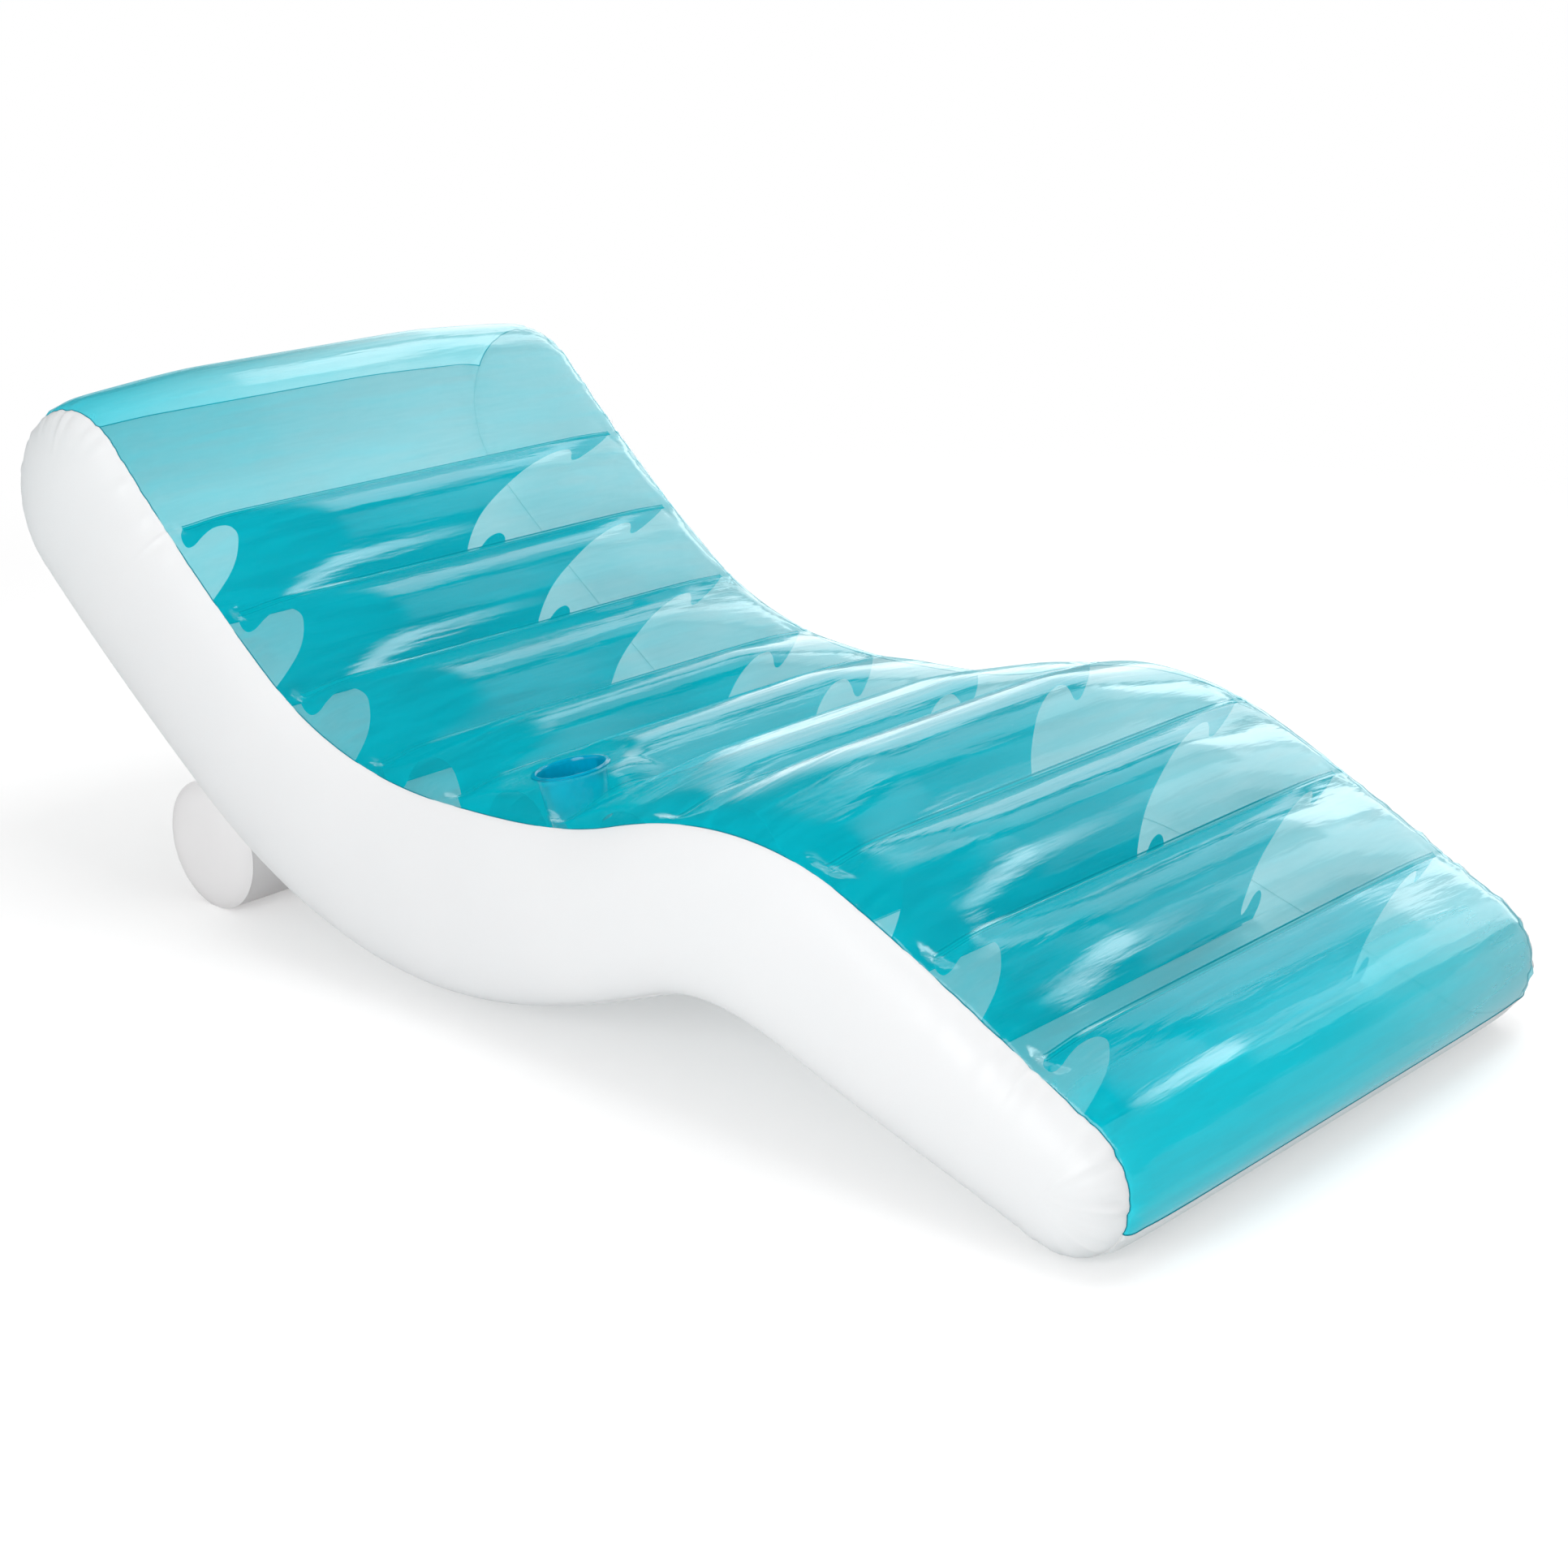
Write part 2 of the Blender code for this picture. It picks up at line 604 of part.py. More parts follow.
def bolster_axis():
    """Where the bolster's axis runs: on the floor, and touching the swelling underside of the back."""
    centre_z = BOLSTER_RADIUS * math.cos(math.pi / BOLSTER_SIDES)
    line = [row.point(0.0) + STAND for row in bottom_stations()]
    reach = BOLSTER_RADIUS + FIT_GAP
    x, z, _ = spine_at(bolster_place_share * SPINE_LENGTH)
    near, far = x + STAND.x - HEAD_THICKNESS - BOLSTER_RADIUS, x + STAND.x
    for _ in range(40):
        middle = (near + far) / 2
        here = Vector((middle, 0.0, centre_z))
        gap = min(segment_gap(here, a, b) for a, b in zip(line, line[1:]))
        if gap > reach:
            near = middle
        else:
            far = middle
    return near, centre_z


def segment_gap(point, a, b):
    """Distance from a point to the straight line from a to b."""
    run = b - a
    u = min(max((point - a).dot(run) / run.dot(run), 0.0), 1.0)
    return (point - a - run * u).length


def make_bolster(axis_x, axis_z):
    """The round bolster: a sleeve and two end discs that swell a little. Returns the left disc's middle."""
    mat = material("bolster_film", OFF_WHITE, 0.35)
    half = BOLSTER_LENGTH / 2
    sleeve_half = half - SEAM_GAP
    half_side_deg = 180.0 / BOLSTER_SIDES
    lie = Matrix.Translation((axis_x, 0.0, axis_z)) @ Matrix.Rotation(math.pi / 2, 4, "X")
    turned("bolster_sleeve", [
        (BOLSTER_RADIUS, -sleeve_half), (BOLSTER_RADIUS, sleeve_half),
        (BOLSTER_RADIUS - FILM, sleeve_half), (BOLSTER_RADIUS - FILM, -sleeve_half),
    ], mat, lie, BOLSTER_SIDES, half_side_deg)
    flat = FLANGE_RADIUS + FLANGE_THICKNESS
    rings = [(BOLSTER_RADIUS, 0.0)]
    for share in bolster_ring_shares:
        rings.append((BOLSTER_RADIUS * share, BOLSTER_BULGE * (1 - share**4)))
    rings.append((flat, BOLSTER_BULGE))
    hole = STEM_RADIUS + RUN_GAP
    outer_left = rings + [(hole, BOLSTER_BULGE)]
    outline = outer_left + [(r, h - FILM) for r, h in reversed(outer_left)]
    stand_left = Matrix.Translation((axis_x, half, axis_z)) @ Matrix.Rotation(-math.pi / 2, 4, "X")
    stand_right = Matrix.Translation((axis_x, -half, axis_z)) @ Matrix.Rotation(math.pi / 2, 4, "X")
    turned("bolster_end_left", outline, material("bolster_end_left_film", OFF_WHITE, 0.35), stand_left,
           BOLSTER_SIDES, half_side_deg)
    bm = bmesh.new()
    start = Matrix.Rotation(math.radians(half_side_deg), 3, "Z")
    arc = [bm.verts.new(start @ Vector((r, 0.0, h))) for r, h in rings] + [bm.verts.new((0, 0, BOLSTER_BULGE))]
    edges = [bm.edges.new(pair) for pair in zip(arc, arc[1:])]
    bmesh.ops.spin(bm, geom=arc + edges, cent=(0, 0, 0), axis=(0, 0, 1), angle=math.tau,
                   steps=BOLSTER_SIDES, use_merge=True)
    bmesh.ops.remove_doubles(bm, verts=bm.verts, dist=FILM / 10)
    bmesh.ops.recalc_face_normals(bm, faces=bm.faces)
    if sum(f.normal.z for f in bm.faces) < 0:
        bmesh.ops.reverse_faces(bm, faces=bm.faces)
    right = finish("bolster_end_right", bm, material("bolster_end_right_film", OFF_WHITE, 0.35),
                   stand_right)
    solidify(right, FILM)
    return stand_left @ Matrix.Translation((0, 0, BOLSTER_BULGE))


def slab(bm, near, far, width, low, high):
    """A flat bar from near to far along x, centred on y, between two heights."""
    made = bmesh.ops.create_cube(bm, size=1.0)
    size = Matrix.Diagonal((far - near, width, high - low, 1.0))
    move = Matrix.Translation(((near + far) / 2, 0.0, (low + high) / 2))
    bmesh.ops.transform(bm, matrix=move @ size, verts=made["verts"])


def union(obj, tool):
    """Welds a hidden shape onto a piece."""
    tool.hide_render = True
    tool.display_type = "WIRE"
    mod = obj.modifiers.new("join", "BOOLEAN")
    mod.operation = "UNION"
    mod.solver = "EXACT"
    mod.object = tool


def bar(name, near, far, width, low, high, place):
    bm = bmesh.new()
    slab(bm, near, far, width, low, high)
    return finish(name, bm, material(name, VALVE_CLEAR, 0.3), place, smooth=False)


def make_valve(prefix, frame):
    """One air valve on a frame whose z points out of the film: flange, stem, plug with strap, and flap."""
    mat = material(prefix + "_vinyl", VALVE_CLEAR, 0.3)
    seat = FIT_GAP
    bore = STEM_RADIUS + RUN_GAP
    collar = bore + FLANGE_COLLAR_WALL
    collar_top = seat + FLANGE_THICKNESS + FLANGE_COLLAR_HEIGHT
    turned(prefix + "_flange", [
        (bore, seat), (FLANGE_RADIUS, seat), (FLANGE_RADIUS, seat + FLANGE_THICKNESS),
        (collar, seat + FLANGE_THICKNESS), (collar, collar_top), (bore, collar_top),
    ], mat, frame)

    inside = STEM_RADIUS - STEM_WALL
    collar_low = STEM_OUT - STEM_COLLAR_HEIGHT
    stem = turned(prefix + "_stem", [
        (inside, STEM_OUT), (inside, STEM_LEDGE - STEM_IN), (inside - STEM_LEDGE, STEM_LEDGE - STEM_IN),
        (inside - STEM_LEDGE, -STEM_IN), (STEM_RADIUS, -STEM_IN), (STEM_RADIUS, collar_low),
        (STEM_COLLAR_RADIUS, collar_low), (STEM_COLLAR_RADIUS, STEM_OUT),
    ], material(prefix + "_stem_vinyl", VALVE_CLEAR, 0.3), frame)
    union(stem, bar(prefix + "_tongue_tool", STEM_RADIUS, HINGE_REACH - FIT_GAP, STRAP_WIDTH,
                    STEM_OUT - STRAP_THICKNESS, STEM_OUT - STRAP_THICKNESS / 4, frame))

    hinge = Vector((HINGE_REACH, 0.0, STEM_OUT + FIT_GAP / 2))
    plug_frame = frame @ Matrix.Translation(hinge)
    low = FIT_GAP / 2
    centre = -HINGE_REACH
    spigot = inside - PLUG_GAP
    bm = bmesh.new()
    outline = [(0.0, low + PLUG_CAP_THICKNESS), (PLUG_CAP_RADIUS, low + PLUG_CAP_THICKNESS),
               (PLUG_CAP_RADIUS, low), (spigot, low), (spigot * plug_taper_share, low - PLUG_DEPTH),
               (0.0, low - PLUG_DEPTH)]
    verts = [bm.verts.new((r, 0.0, h)) for r, h in outline]
    edges = [bm.edges.new(pair) for pair in zip(verts, verts[1:])]
    bmesh.ops.spin(bm, geom=verts + edges, cent=(0, 0, 0), axis=(0, 0, 1), angle=math.tau,
                   steps=ROUND_SIDES, use_merge=True)
    bmesh.ops.remove_doubles(bm, verts=bm.verts, dist=FILM / 10)
    bmesh.ops.recalc_face_normals(bm, faces=bm.faces)
    bmesh.ops.translate(bm, vec=(centre, 0.0, 0.0), verts=bm.verts)
    plug = finish(prefix + "_plug", bm, material(prefix + "_plug_vinyl", VALVE_CLEAR, 0.3), plug_frame)
    reach = centre - PLUG_CAP_RADIUS - PLUG_PULL_LENGTH
    union(plug, bar(prefix + "_strap_tool", reach, 0.0, STRAP_WIDTH, low + STRAP_THICKNESS / 4,
                    low + STRAP_THICKNESS * 5 / 4, plug_frame))

    flap_hinge = Vector((FLAP_RADIUS, 0.0, -STEM_IN - FIT_GAP))
    flap_frame = frame @ Matrix.Translation(flap_hinge)
    bm = bmesh.new()
    bmesh.ops.create_cone(bm, cap_ends=True, segments=ROUND_SIDES, radius1=FLAP_RADIUS - RUN_GAP,
                          radius2=FLAP_RADIUS - RUN_GAP, depth=FLAP_THICKNESS,
                          matrix=Matrix.Translation((-FLAP_RADIUS, 0.0, -FLAP_THICKNESS / 2)))
    flap = finish(prefix + "_flap", bm, material(prefix + "_flap_vinyl", VALVE_CLEAR, 0.3), flap_frame)
    union(flap, bar(prefix + "_flap_tab_tool", -FLAP_RADIUS / 2, 0.0, FLAP_TAB_WIDTH,
                    -FLAP_THICKNESS * 3 / 4, -FLAP_THICKNESS / 4, flap_frame))


rim_frame = make_top_sheet()
main_valve_frame = make_bottom_sheet()
make_side_panel("right_side_panel", -1)
make_side_panel("left_side_panel", 1)
for number, weld_place in enumerate(weld_places, 1):
    make_baffle(f"baffle_{number:02d}", weld_place)
make_cup_holder(rim_frame)
bolster_valve_frame = make_bolster(*bolster_axis())
make_valve("main_valve", main_valve_frame)
make_valve("bolster_valve", bolster_valve_frame)
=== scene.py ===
import math

import bmesh
import bpy
from mathutils import Matrix, Vector


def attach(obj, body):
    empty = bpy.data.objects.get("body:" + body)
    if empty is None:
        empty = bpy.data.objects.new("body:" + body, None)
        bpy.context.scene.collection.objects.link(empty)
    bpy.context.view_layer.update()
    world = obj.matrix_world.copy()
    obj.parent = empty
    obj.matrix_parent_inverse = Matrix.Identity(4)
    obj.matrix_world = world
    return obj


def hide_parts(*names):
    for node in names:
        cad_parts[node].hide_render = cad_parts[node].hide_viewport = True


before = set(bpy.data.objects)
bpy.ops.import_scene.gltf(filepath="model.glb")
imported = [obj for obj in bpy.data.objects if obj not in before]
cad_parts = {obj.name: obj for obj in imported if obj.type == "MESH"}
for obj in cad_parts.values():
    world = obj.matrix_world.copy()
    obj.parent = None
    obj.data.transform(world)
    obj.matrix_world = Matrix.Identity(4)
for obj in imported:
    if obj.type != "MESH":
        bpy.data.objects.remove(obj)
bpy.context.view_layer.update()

scene = bpy.context.scene
print("frame loaded:", len(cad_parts), "nodes")

# ---- camera, floor and light

studio = {
    "cameraAt": (2.4785, -2.5711, 1.4416),
    "right": (0.73727, 0.67549, -0.01223),
    "up": (-0.20918, 0.24544, 0.94657),
    "lens": 63.354,
    "sensor": 36.0,
    "skyLight": 0.73,
    "floorHalf": 40.0,
    "floorGrey": 0.88,  # as the chair is lit by it
    "floorShown": 0.66,  # as the camera sees it: the part that takes the shadow
    "floorGlow": 0.40,  # and the part that shines by itself
    "floorFade": (1.9, 3.4),  # distances between which the shown floor turns plain white
}
# the dark room that gloss mirrors; each of its windows has the turns about the chair's width, in degrees, between
# which it stands, how far back it begins, over how much it fades in, and how bright it is
room = {
    "dark": 0.05,
    "horizon": (0.70, 0.06, 0.20),  # its strength, and the heights between which it fades out
    "windows": (((-48.0, -17.0), 0.55, 0.06, 2.8), ((-96.0, -50.0), 0.585, 0.08, 2.0),
                ((-12.0, 32.0), 0.54, 0.12, 1.4), ((-46.0, 52.0), 0.70, 0.14, 1.9)),
    "behindFilm": 0.42,  # share of the room that gloss still sees through the film
    "softEdge": 3.5,  # degrees over which a window's sides fade
    "floor": 0.55,
}
# where each lamp hangs, what it looks at, its sides in metres, its power in watts, and whether gloss shows it
lamps = {
    "overhead": ((0.9, 0.1, 3.6), (0.0, 0.0, 0.3), (2.4, 2.0), 48.0, False),
    "back": ((-0.4, 3.0, 2.7), (0.0, 0.0, 0.4), (3.0, 1.5), 48.0, False),
    "frontSoft": ((1.1, -3.8, 1.6), (0.0, 0.0, 0.3), (2.6, 1.8), 64.0, True),
}
# a small round light with a soft rim that only gloss shows
card = {
    "at": (1.45, 1.5, 2.05),
    "aim": (0.0, 0.0, 0.4),
    "radius": 0.56,
    "sides": 48,
    "core": 0.25,  # share of its radius that is evenly bright
    "strength": 8.5,
}


class Wire:
    # a node's socket: Python's sums with it add the Math nodes for them
    def __init__(self, paint, socket):
        self.paint, self.socket = paint, socket

    def __add__(self, other):
        return self.paint.sum("ADD", self, other)

    def __sub__(self, other):
        return self.paint.sum("SUBTRACT", self, other)

    def __rsub__(self, other):
        return self.paint.sum("SUBTRACT", other, self)

    def __mul__(self, other):
        return self.paint.sum("MULTIPLY", self, other)

    def clamped(self):
        return self.paint.sum("MINIMUM", self.paint.sum("MAXIMUM", self, 0.0), 1.0)


class Paint:
    # one material and its nodes
    def __init__(self, name, world=None):
        self.made = world or bpy.data.materials.new(name)
        self.made.use_nodes = True
        self.tree = self.made.node_tree
        self.tree.nodes.clear()
        self.end = self.tree.nodes.new("ShaderNodeOutputWorld" if world else "ShaderNodeOutputMaterial")

    def add(self, kind, settings=None, inputs=None, output=0):
        node = self.tree.nodes.new(kind)
        for key, value in (settings or {}).items():
            setattr(node, key, value)
        for key, value in (inputs or {}).items():
            socket = node.inputs[key]
            if isinstance(value, Wire):
                self.tree.links.new(value.socket, socket)
            elif hasattr(value, "__len__") and len(value) == 3 and socket.type == "RGBA":
                socket.default_value = (*value, 1.0)
            else:
                socket.default_value = value
        return Wire(self, node.outputs[output])

    def sum(self, operation, first, second):
        return self.add("ShaderNodeMath", {"operation": operation}, {0: first, 1: second})

    def surface(self, shader):
        self.tree.links.new(shader.socket, self.end.inputs["Surface"])
        return self.made

    def place(self, scale=(1, 1, 1), offset=(0, 0, 0)):
        where = self.add("ShaderNodeTexCoord", output=3)
        return self.add("ShaderNodeMapping", None, {"Vector": where, "Location": offset, "Scale": scale})

    def axis(self, number):
        # one of the three object coordinates
        return self.add("ShaderNodeSeparateXYZ", None, {"Vector": self.place()}, output=number)

    def distance(self):
        # from the object's own origin
        return self.add("ShaderNodeVectorMath", {"operation": "LENGTH"}, {0: self.place()}, output=1)

    def noise(self, scale, stretch=(1, 1, 1), detail=4.0, rough=0.55, offset=(0, 0, 0)):
        return self.add("ShaderNodeTexNoise", None, {
            "Vector": self.place(stretch, offset), "Scale": scale, "Detail": detail, "Roughness": rough})

    def ranged(self, value, low, high, first=0.0, last=1.0):
        return self.add("ShaderNodeMapRange", {"clamp": True},
                        {"Value": value, 1: first, 2: last, 3: low, 4: high})

    def kept(self, name):
        # a value that the mesh keeps for each of its corners
        return self.add("ShaderNodeAttribute", {"attribute_name": name}, output=2)

    def smoothed(self, value, first, last):
        return self.add("ShaderNodeMapRange", {"clamp": True, "interpolation_type": "SMOOTHSTEP"},
                        {"Value": value, 1: first, 2: last, 3: 0.0, 4: 1.0})

    def blend(self, factor, first, second):
        return self.add("ShaderNodeMix", {"data_type": "RGBA"},
                        {0: factor, 6: first, 7: second}, output=2)

    def bump(self, height, distance):
        return self.add("ShaderNodeBump", None, {"Height": height, "Distance": distance})

    def mixed(self, factor, first, second):
        return self.add("ShaderNodeMixShader", None, {0: factor, 1: first, 2: second})

    def clear(self, colour=(1, 1, 1)):
        return self.add("ShaderNodeBsdfTransparent", None, {"Color": colour})

    def diffuse(self, share):
        return self.add("ShaderNodeBsdfDiffuse", None, {"Color": (share,) * 3})

    def glow(self, strength):
        return self.add("ShaderNodeEmission", None, {"Strength": strength})

    def through(self, colour):
        return self.add("ShaderNodeBsdfTranslucent", None, {"Color": colour})

    def background(self, strength):
        return self.add("ShaderNodeBackground", None, {"Strength": strength})

    def glossed(self, index, most, body, rough, bent):
        # a mirror over the body that grows towards the edge, up to a share
        gloss = self.add("ShaderNodeBsdfGlossy", None, {"Color": (1, 1, 1), "Roughness": rough, "Normal": bent})
        share = self.sum("MINIMUM", self.add("ShaderNodeFresnel", None, {"IOR": index, "Normal": bent}), most)
        return self.surface(self.mixed(share, body, gloss))


def aimed(at, aim):
    # the turn of a lamp or card that hangs at one place and looks at another
    return (Vector(aim) - Vector(at)).to_track_quat("-Z", "Y").to_euler()


def makeCamera():
    cameraData = bpy.data.cameras.new("camera")
    cameraData.lens, cameraData.sensor_width = studio["lens"], studio["sensor"]
    camera = bpy.data.objects.new("camera", cameraData)
    right, up = Vector(studio["right"]), Vector(studio["up"])
    turn = Matrix((right, up, right.cross(up))).transposed()
    camera.matrix_world = Matrix.Translation(studio["cameraAt"]) @ turn.to_4x4()
    scene.collection.objects.link(camera)
    scene.camera = camera


def makeLamps():
    for name, (at, aim, size, power, mirrored) in lamps.items():
        lamp = bpy.data.lights.new(name, "AREA")
        lamp.shape, lamp.size, lamp.size_y, lamp.energy = "RECTANGLE", size[0], size[1], power
        held = bpy.data.objects.new(name, lamp)
        held.location = at
        held.rotation_euler = aimed(at, aim)
        held.visible_glossy = mirrored
        scene.collection.objects.link(held)


def staged(name, bm, material, at=(0, 0, 0), turn=(0, 0, 0)):
    data = bpy.data.meshes.new(name)
    bm.to_mesh(data)
    bm.free()
    data.materials.append(material)
    made = bpy.data.objects.new(name, data)
    made.location, made.rotation_euler = at, turn
    scene.collection.objects.link(made)
    return made


def floorWhite():
    # the camera sees a floor that glows and turns white further out, gloss a dim one, all else plain grey
    paint = Paint("floorWhite")
    kinds = rayKinds(paint)
    shown = paint.add("ShaderNodeAddShader", None,
                      {0: paint.diffuse(studio["floorShown"]), 1: paint.glow(studio["floorGlow"])})
    shown = paint.mixed(paint.smoothed(paint.distance(), *studio["floorFade"]), shown, paint.glow(1.0))
    other = paint.mixed(kinds["gloss"], paint.diffuse(studio["floorGrey"]), paint.glow(room["floor"]))
    below = paint.add("ShaderNodeNewGeometry", output=6)  # its Backfacing: from below the floor is clear
    return paint.surface(paint.mixed(below, paint.mixed(kinds["shown"], other, shown), paint.clear()))


def makeFloor():
    bm = bmesh.new()
    bmesh.ops.create_grid(bm, x_segments=1, y_segments=1, size=studio["floorHalf"])
    staged("floor", bm, floorWhite())


def makeWorld():
    scene.world = bpy.data.worlds.new("studio")
    sky = Paint("studio", scene.world)
    kinds = rayKinds(sky)
    other = sky.mixed(kinds["gloss"], sky.background(studio["skyLight"]), sky.background(mirroredRoom(sky)))
    sky.surface(sky.mixed(kinds["shown"], other, sky.background(1.0)))


def makeCard():
    paint = Paint("softCardGlow")
    rim = paint.smoothed(paint.distance(), card["radius"] * card["core"], card["radius"])
    glow = paint.surface(paint.mixed(rim, paint.glow(card["strength"]), paint.clear()))
    bm = bmesh.new()
    bmesh.ops.create_circle(bm, cap_ends=True, segments=card["sides"], radius=card["radius"])
    held = staged("softCard", bm, glow, card["at"], aimed(card["at"], card["aim"]))
    held.visible_camera = held.visible_diffuse = held.visible_transmission = held.visible_shadow = False


def mirroredRoom(sky):
    # how bright the room is each way, for gloss alone
    way = sky.add("ShaderNodeTexCoord")
    x, y, z = (sky.add("ShaderNodeSeparateXYZ", None, {"Vector": way}, output=i) for i in range(3))
    turn = sky.sum("ARCTAN2", x, z) * (180 / math.pi)
    soft = room["softEdge"]
    light = (1.0 - sky.smoothed(z, *room["horizon"][1:])) * room["horizon"][0] + room["dark"]
    for (first, last), low, fade, strength in room["windows"]:
        light = light + (sky.smoothed(turn, first, first + soft) * (1.0 - sky.smoothed(turn, last - soft, last))
                         * sky.smoothed(y, low, low + fade) * strength)
    return light * (1.0 - rayKinds(sky)["through"] * (1.0 - room["behindFilm"]))


def rayKinds(paint):
    # which rays show the background, which ones mirror it, and which ones have passed a clear film
    rays = paint.add("ShaderNodeLightPath")
    outputs = {o.name: Wire(paint, o) for o in rays.socket.node.outputs}
    seen = outputs["Is Camera Ray"] + outputs["Is Transmission Ray"]
    return {"shown": seen.clamped(), "gloss": outputs["Is Glossy Ray"],
            "through": outputs["Transparent Depth"].clamped()}


makeCamera()
makeLamps()
makeCard()
makeFloor()
makeWorld()
scene.view_settings.view_transform = "Standard"
print("studio ready")

# ---- finishes

clearLook = {
    "tint": (0.82, 0.985, 0.995),  # what one layer lets through
    "paintedShadeTint": (0.12, 0.80, 0.90),  # painted shade: what one layer lets through round the foot end and the near top of the headrest, deeper where the chair's inside lies in shade
    "milk": (0.0, 0.76, 0.91),
    "haze": 0.31,  # share of the film that isn't clear
    # painted shade at the foot end: the haze it adds, where it lies and how it weakens across the chair
    "footShadeHaze": 0.30,
    "footShadeAlong": (0.86, 1.0),  # between which places the painted shade sets in at the foot, along the chair
    "footShadeAcross": (-0.15, 0.45),  # and where it weakens, across it
    "footShadeWeaker": 0.75,
    # painted shade at the near top of the headrest: where it lies and how strong it is
    "headShadeAlong": (-0.66, -0.90),
    "headShadeAcross": (-0.48, 0.05),
    "headShadeShare": 0.8,
    "creaseTeal": (0.0, 0.27, 0.34),
    "creaseStrip": (0.0, 0.56, 0.66),
    "creaseEdge": (0.0036, 0.0048),  # how far from a crease's middle its strip ends
    "creaseRims": (0.0022, 0.0030),  # where the strip's dark rims begin
    "creaseLine": (0.0002, 0.0009),  # where the dark line in its middle ends
    "lineHaze": 0.45,
    "stripHaze": 0.25,
    "rough": 0.09,
    "index": 1.42,
    "mostGloss": 0.36,
}
baffleLook = {
    "teal": (0.0, 0.66, 0.74),
    # the lighter tone of the painted reflection streaks, also the colour of the light the baffle lets through
    "light": (0.0, 0.73, 0.81),
    "rough": (0.22, 0.4),
    "through": 0.5,  # share of light that gets through
}
whiteLook = {
    "panel": (0.893, 0.885, 0.888),
    "panelRough": 0.34,
    "bolster": (0.92, 0.925, 0.93),
    "bolsterRough": 0.4,
    "through": 0.18,
    "throughTone": (0.98, 0.88, 0.87),
}
# the colour that each film lets through, its own colour, and the share of it that isn't clear
tintedLook = {
    "seamTurquoise": ((0.15, 0.62, 0.70), (0.0, 0.42, 0.52), 0.75),
    "cupBlueFilm": ((0.50, 0.95, 1.0), (0.0, 0.66, 0.92), 0.72),
}
tintedGloss = {"rough": 0.07, "index": 1.38}
vinylLook = {"clear": (0.72, 0.78, 0.80), "cloudy": (0.82, 0.86, 0.88), "rough": (0.16, 0.3)}


def darker(colour, share):
    return tuple(c * share for c in colour)


def clearFilm():
    # turquoise vinyl seen through, with a fine brushed grain along the chair's width and painted shade deepening
    # it round the foot end and the headrest
    look = clearLook
    paint = Paint("clearTurquoiseFilm")
    grain = paint.noise(14.0, (5.0, 0.45, 5.0), 3.0, 0.5)
    ripple = paint.noise(3.0, (2.2, 0.5, 2.2), 2.0, 0.5, (3.0, 1.0, 0.0))
    smudge = paint.noise(9.0, (1.0, 0.6, 1.0), 3.0, 0.5, (7.0, 2.0, 1.0))
    bent = paint.bump(grain * 0.4 + ripple, 0.0020)
    rough = paint.ranged(smudge, look["rough"] * 0.8, look["rough"] * 1.3, 0.35, 0.7)

    crease = paint.kept("creaseOff")
    strip = 1.0 - paint.smoothed(crease, *look["creaseEdge"])
    rims = paint.smoothed(crease, *look["creaseRims"]) * strip
    dark = (1.0 - paint.smoothed(crease, *look["creaseLine"]) + rims).clamped()

    # painted shade: round the foot end and the near top of the headrest the tint deepens, and at the foot the haze
    # thickens, where the chair's inside lies in shade
    along, across = paint.axis(0), paint.axis(1)
    foot = paint.smoothed(along, *look["footShadeAlong"])
    foot = foot * (1.0 - paint.smoothed(across, *look["footShadeAcross"]) * look["footShadeWeaker"])
    head = paint.smoothed(along, *look["headShadeAlong"]) * (1.0 - paint.smoothed(across, *look["headShadeAcross"]))
    deep = (foot + head.clamped() * look["headShadeShare"]).clamped()
    clear = paint.mixed(deep, paint.clear(look["tint"]), paint.clear(look["paintedShadeTint"]))

    tone = paint.ranged(smudge, 0.0, 1.0, 0.3, 0.7)
    milkColour = paint.blend(tone, look["milk"], darker(look["milk"], 0.92))
    milkColour = paint.blend(strip, milkColour, look["creaseStrip"])
    milkColour = paint.blend(dark, milkColour, look["creaseTeal"])
    milk = paint.add("ShaderNodeBsdfPrincipled", None, {
        "Base Color": milkColour, "Roughness": rough, "Specular IOR Level": 0.0, "Normal": bent})
    haze = paint.ranged(grain, look["haze"] * 0.85, look["haze"] * 1.15, 0.35, 0.7)
    haze = (haze + dark * look["lineHaze"] + strip * look["stripHaze"] + foot * look["footShadeHaze"]).clamped()
    return paint.glossed(look["index"], look["mostGloss"], paint.mixed(haze, clear, milk), rough, bent)


def baffleFilm():
    # deep turquoise vinyl with streaks along its length: they vary its roughness and bump, and their lighter tone
    # is a painted reflection of the streaked light mirrored by the film above
    look = baffleLook
    paint = Paint("baffleTurquoiseFilm")
    streaksAndSheen = paint.noise(20.0, (3.0, 0.12, 3.0), 6.0, 0.65)
    soft = paint.ranged(streaksAndSheen, 0.0, 1.0, 0.35, 0.65)
    shader = paint.add("ShaderNodeBsdfPrincipled", None, {
        "Base Color": paint.blend(soft, look["teal"], look["light"]),
        "Roughness": paint.ranged(streaksAndSheen, *look["rough"], 0.3, 0.7),
        "Specular IOR Level": 0.05,
        "Normal": paint.bump(streaksAndSheen, 0.0006)})
    return paint.surface(paint.mixed(look["through"], shader, paint.through(look["light"])))


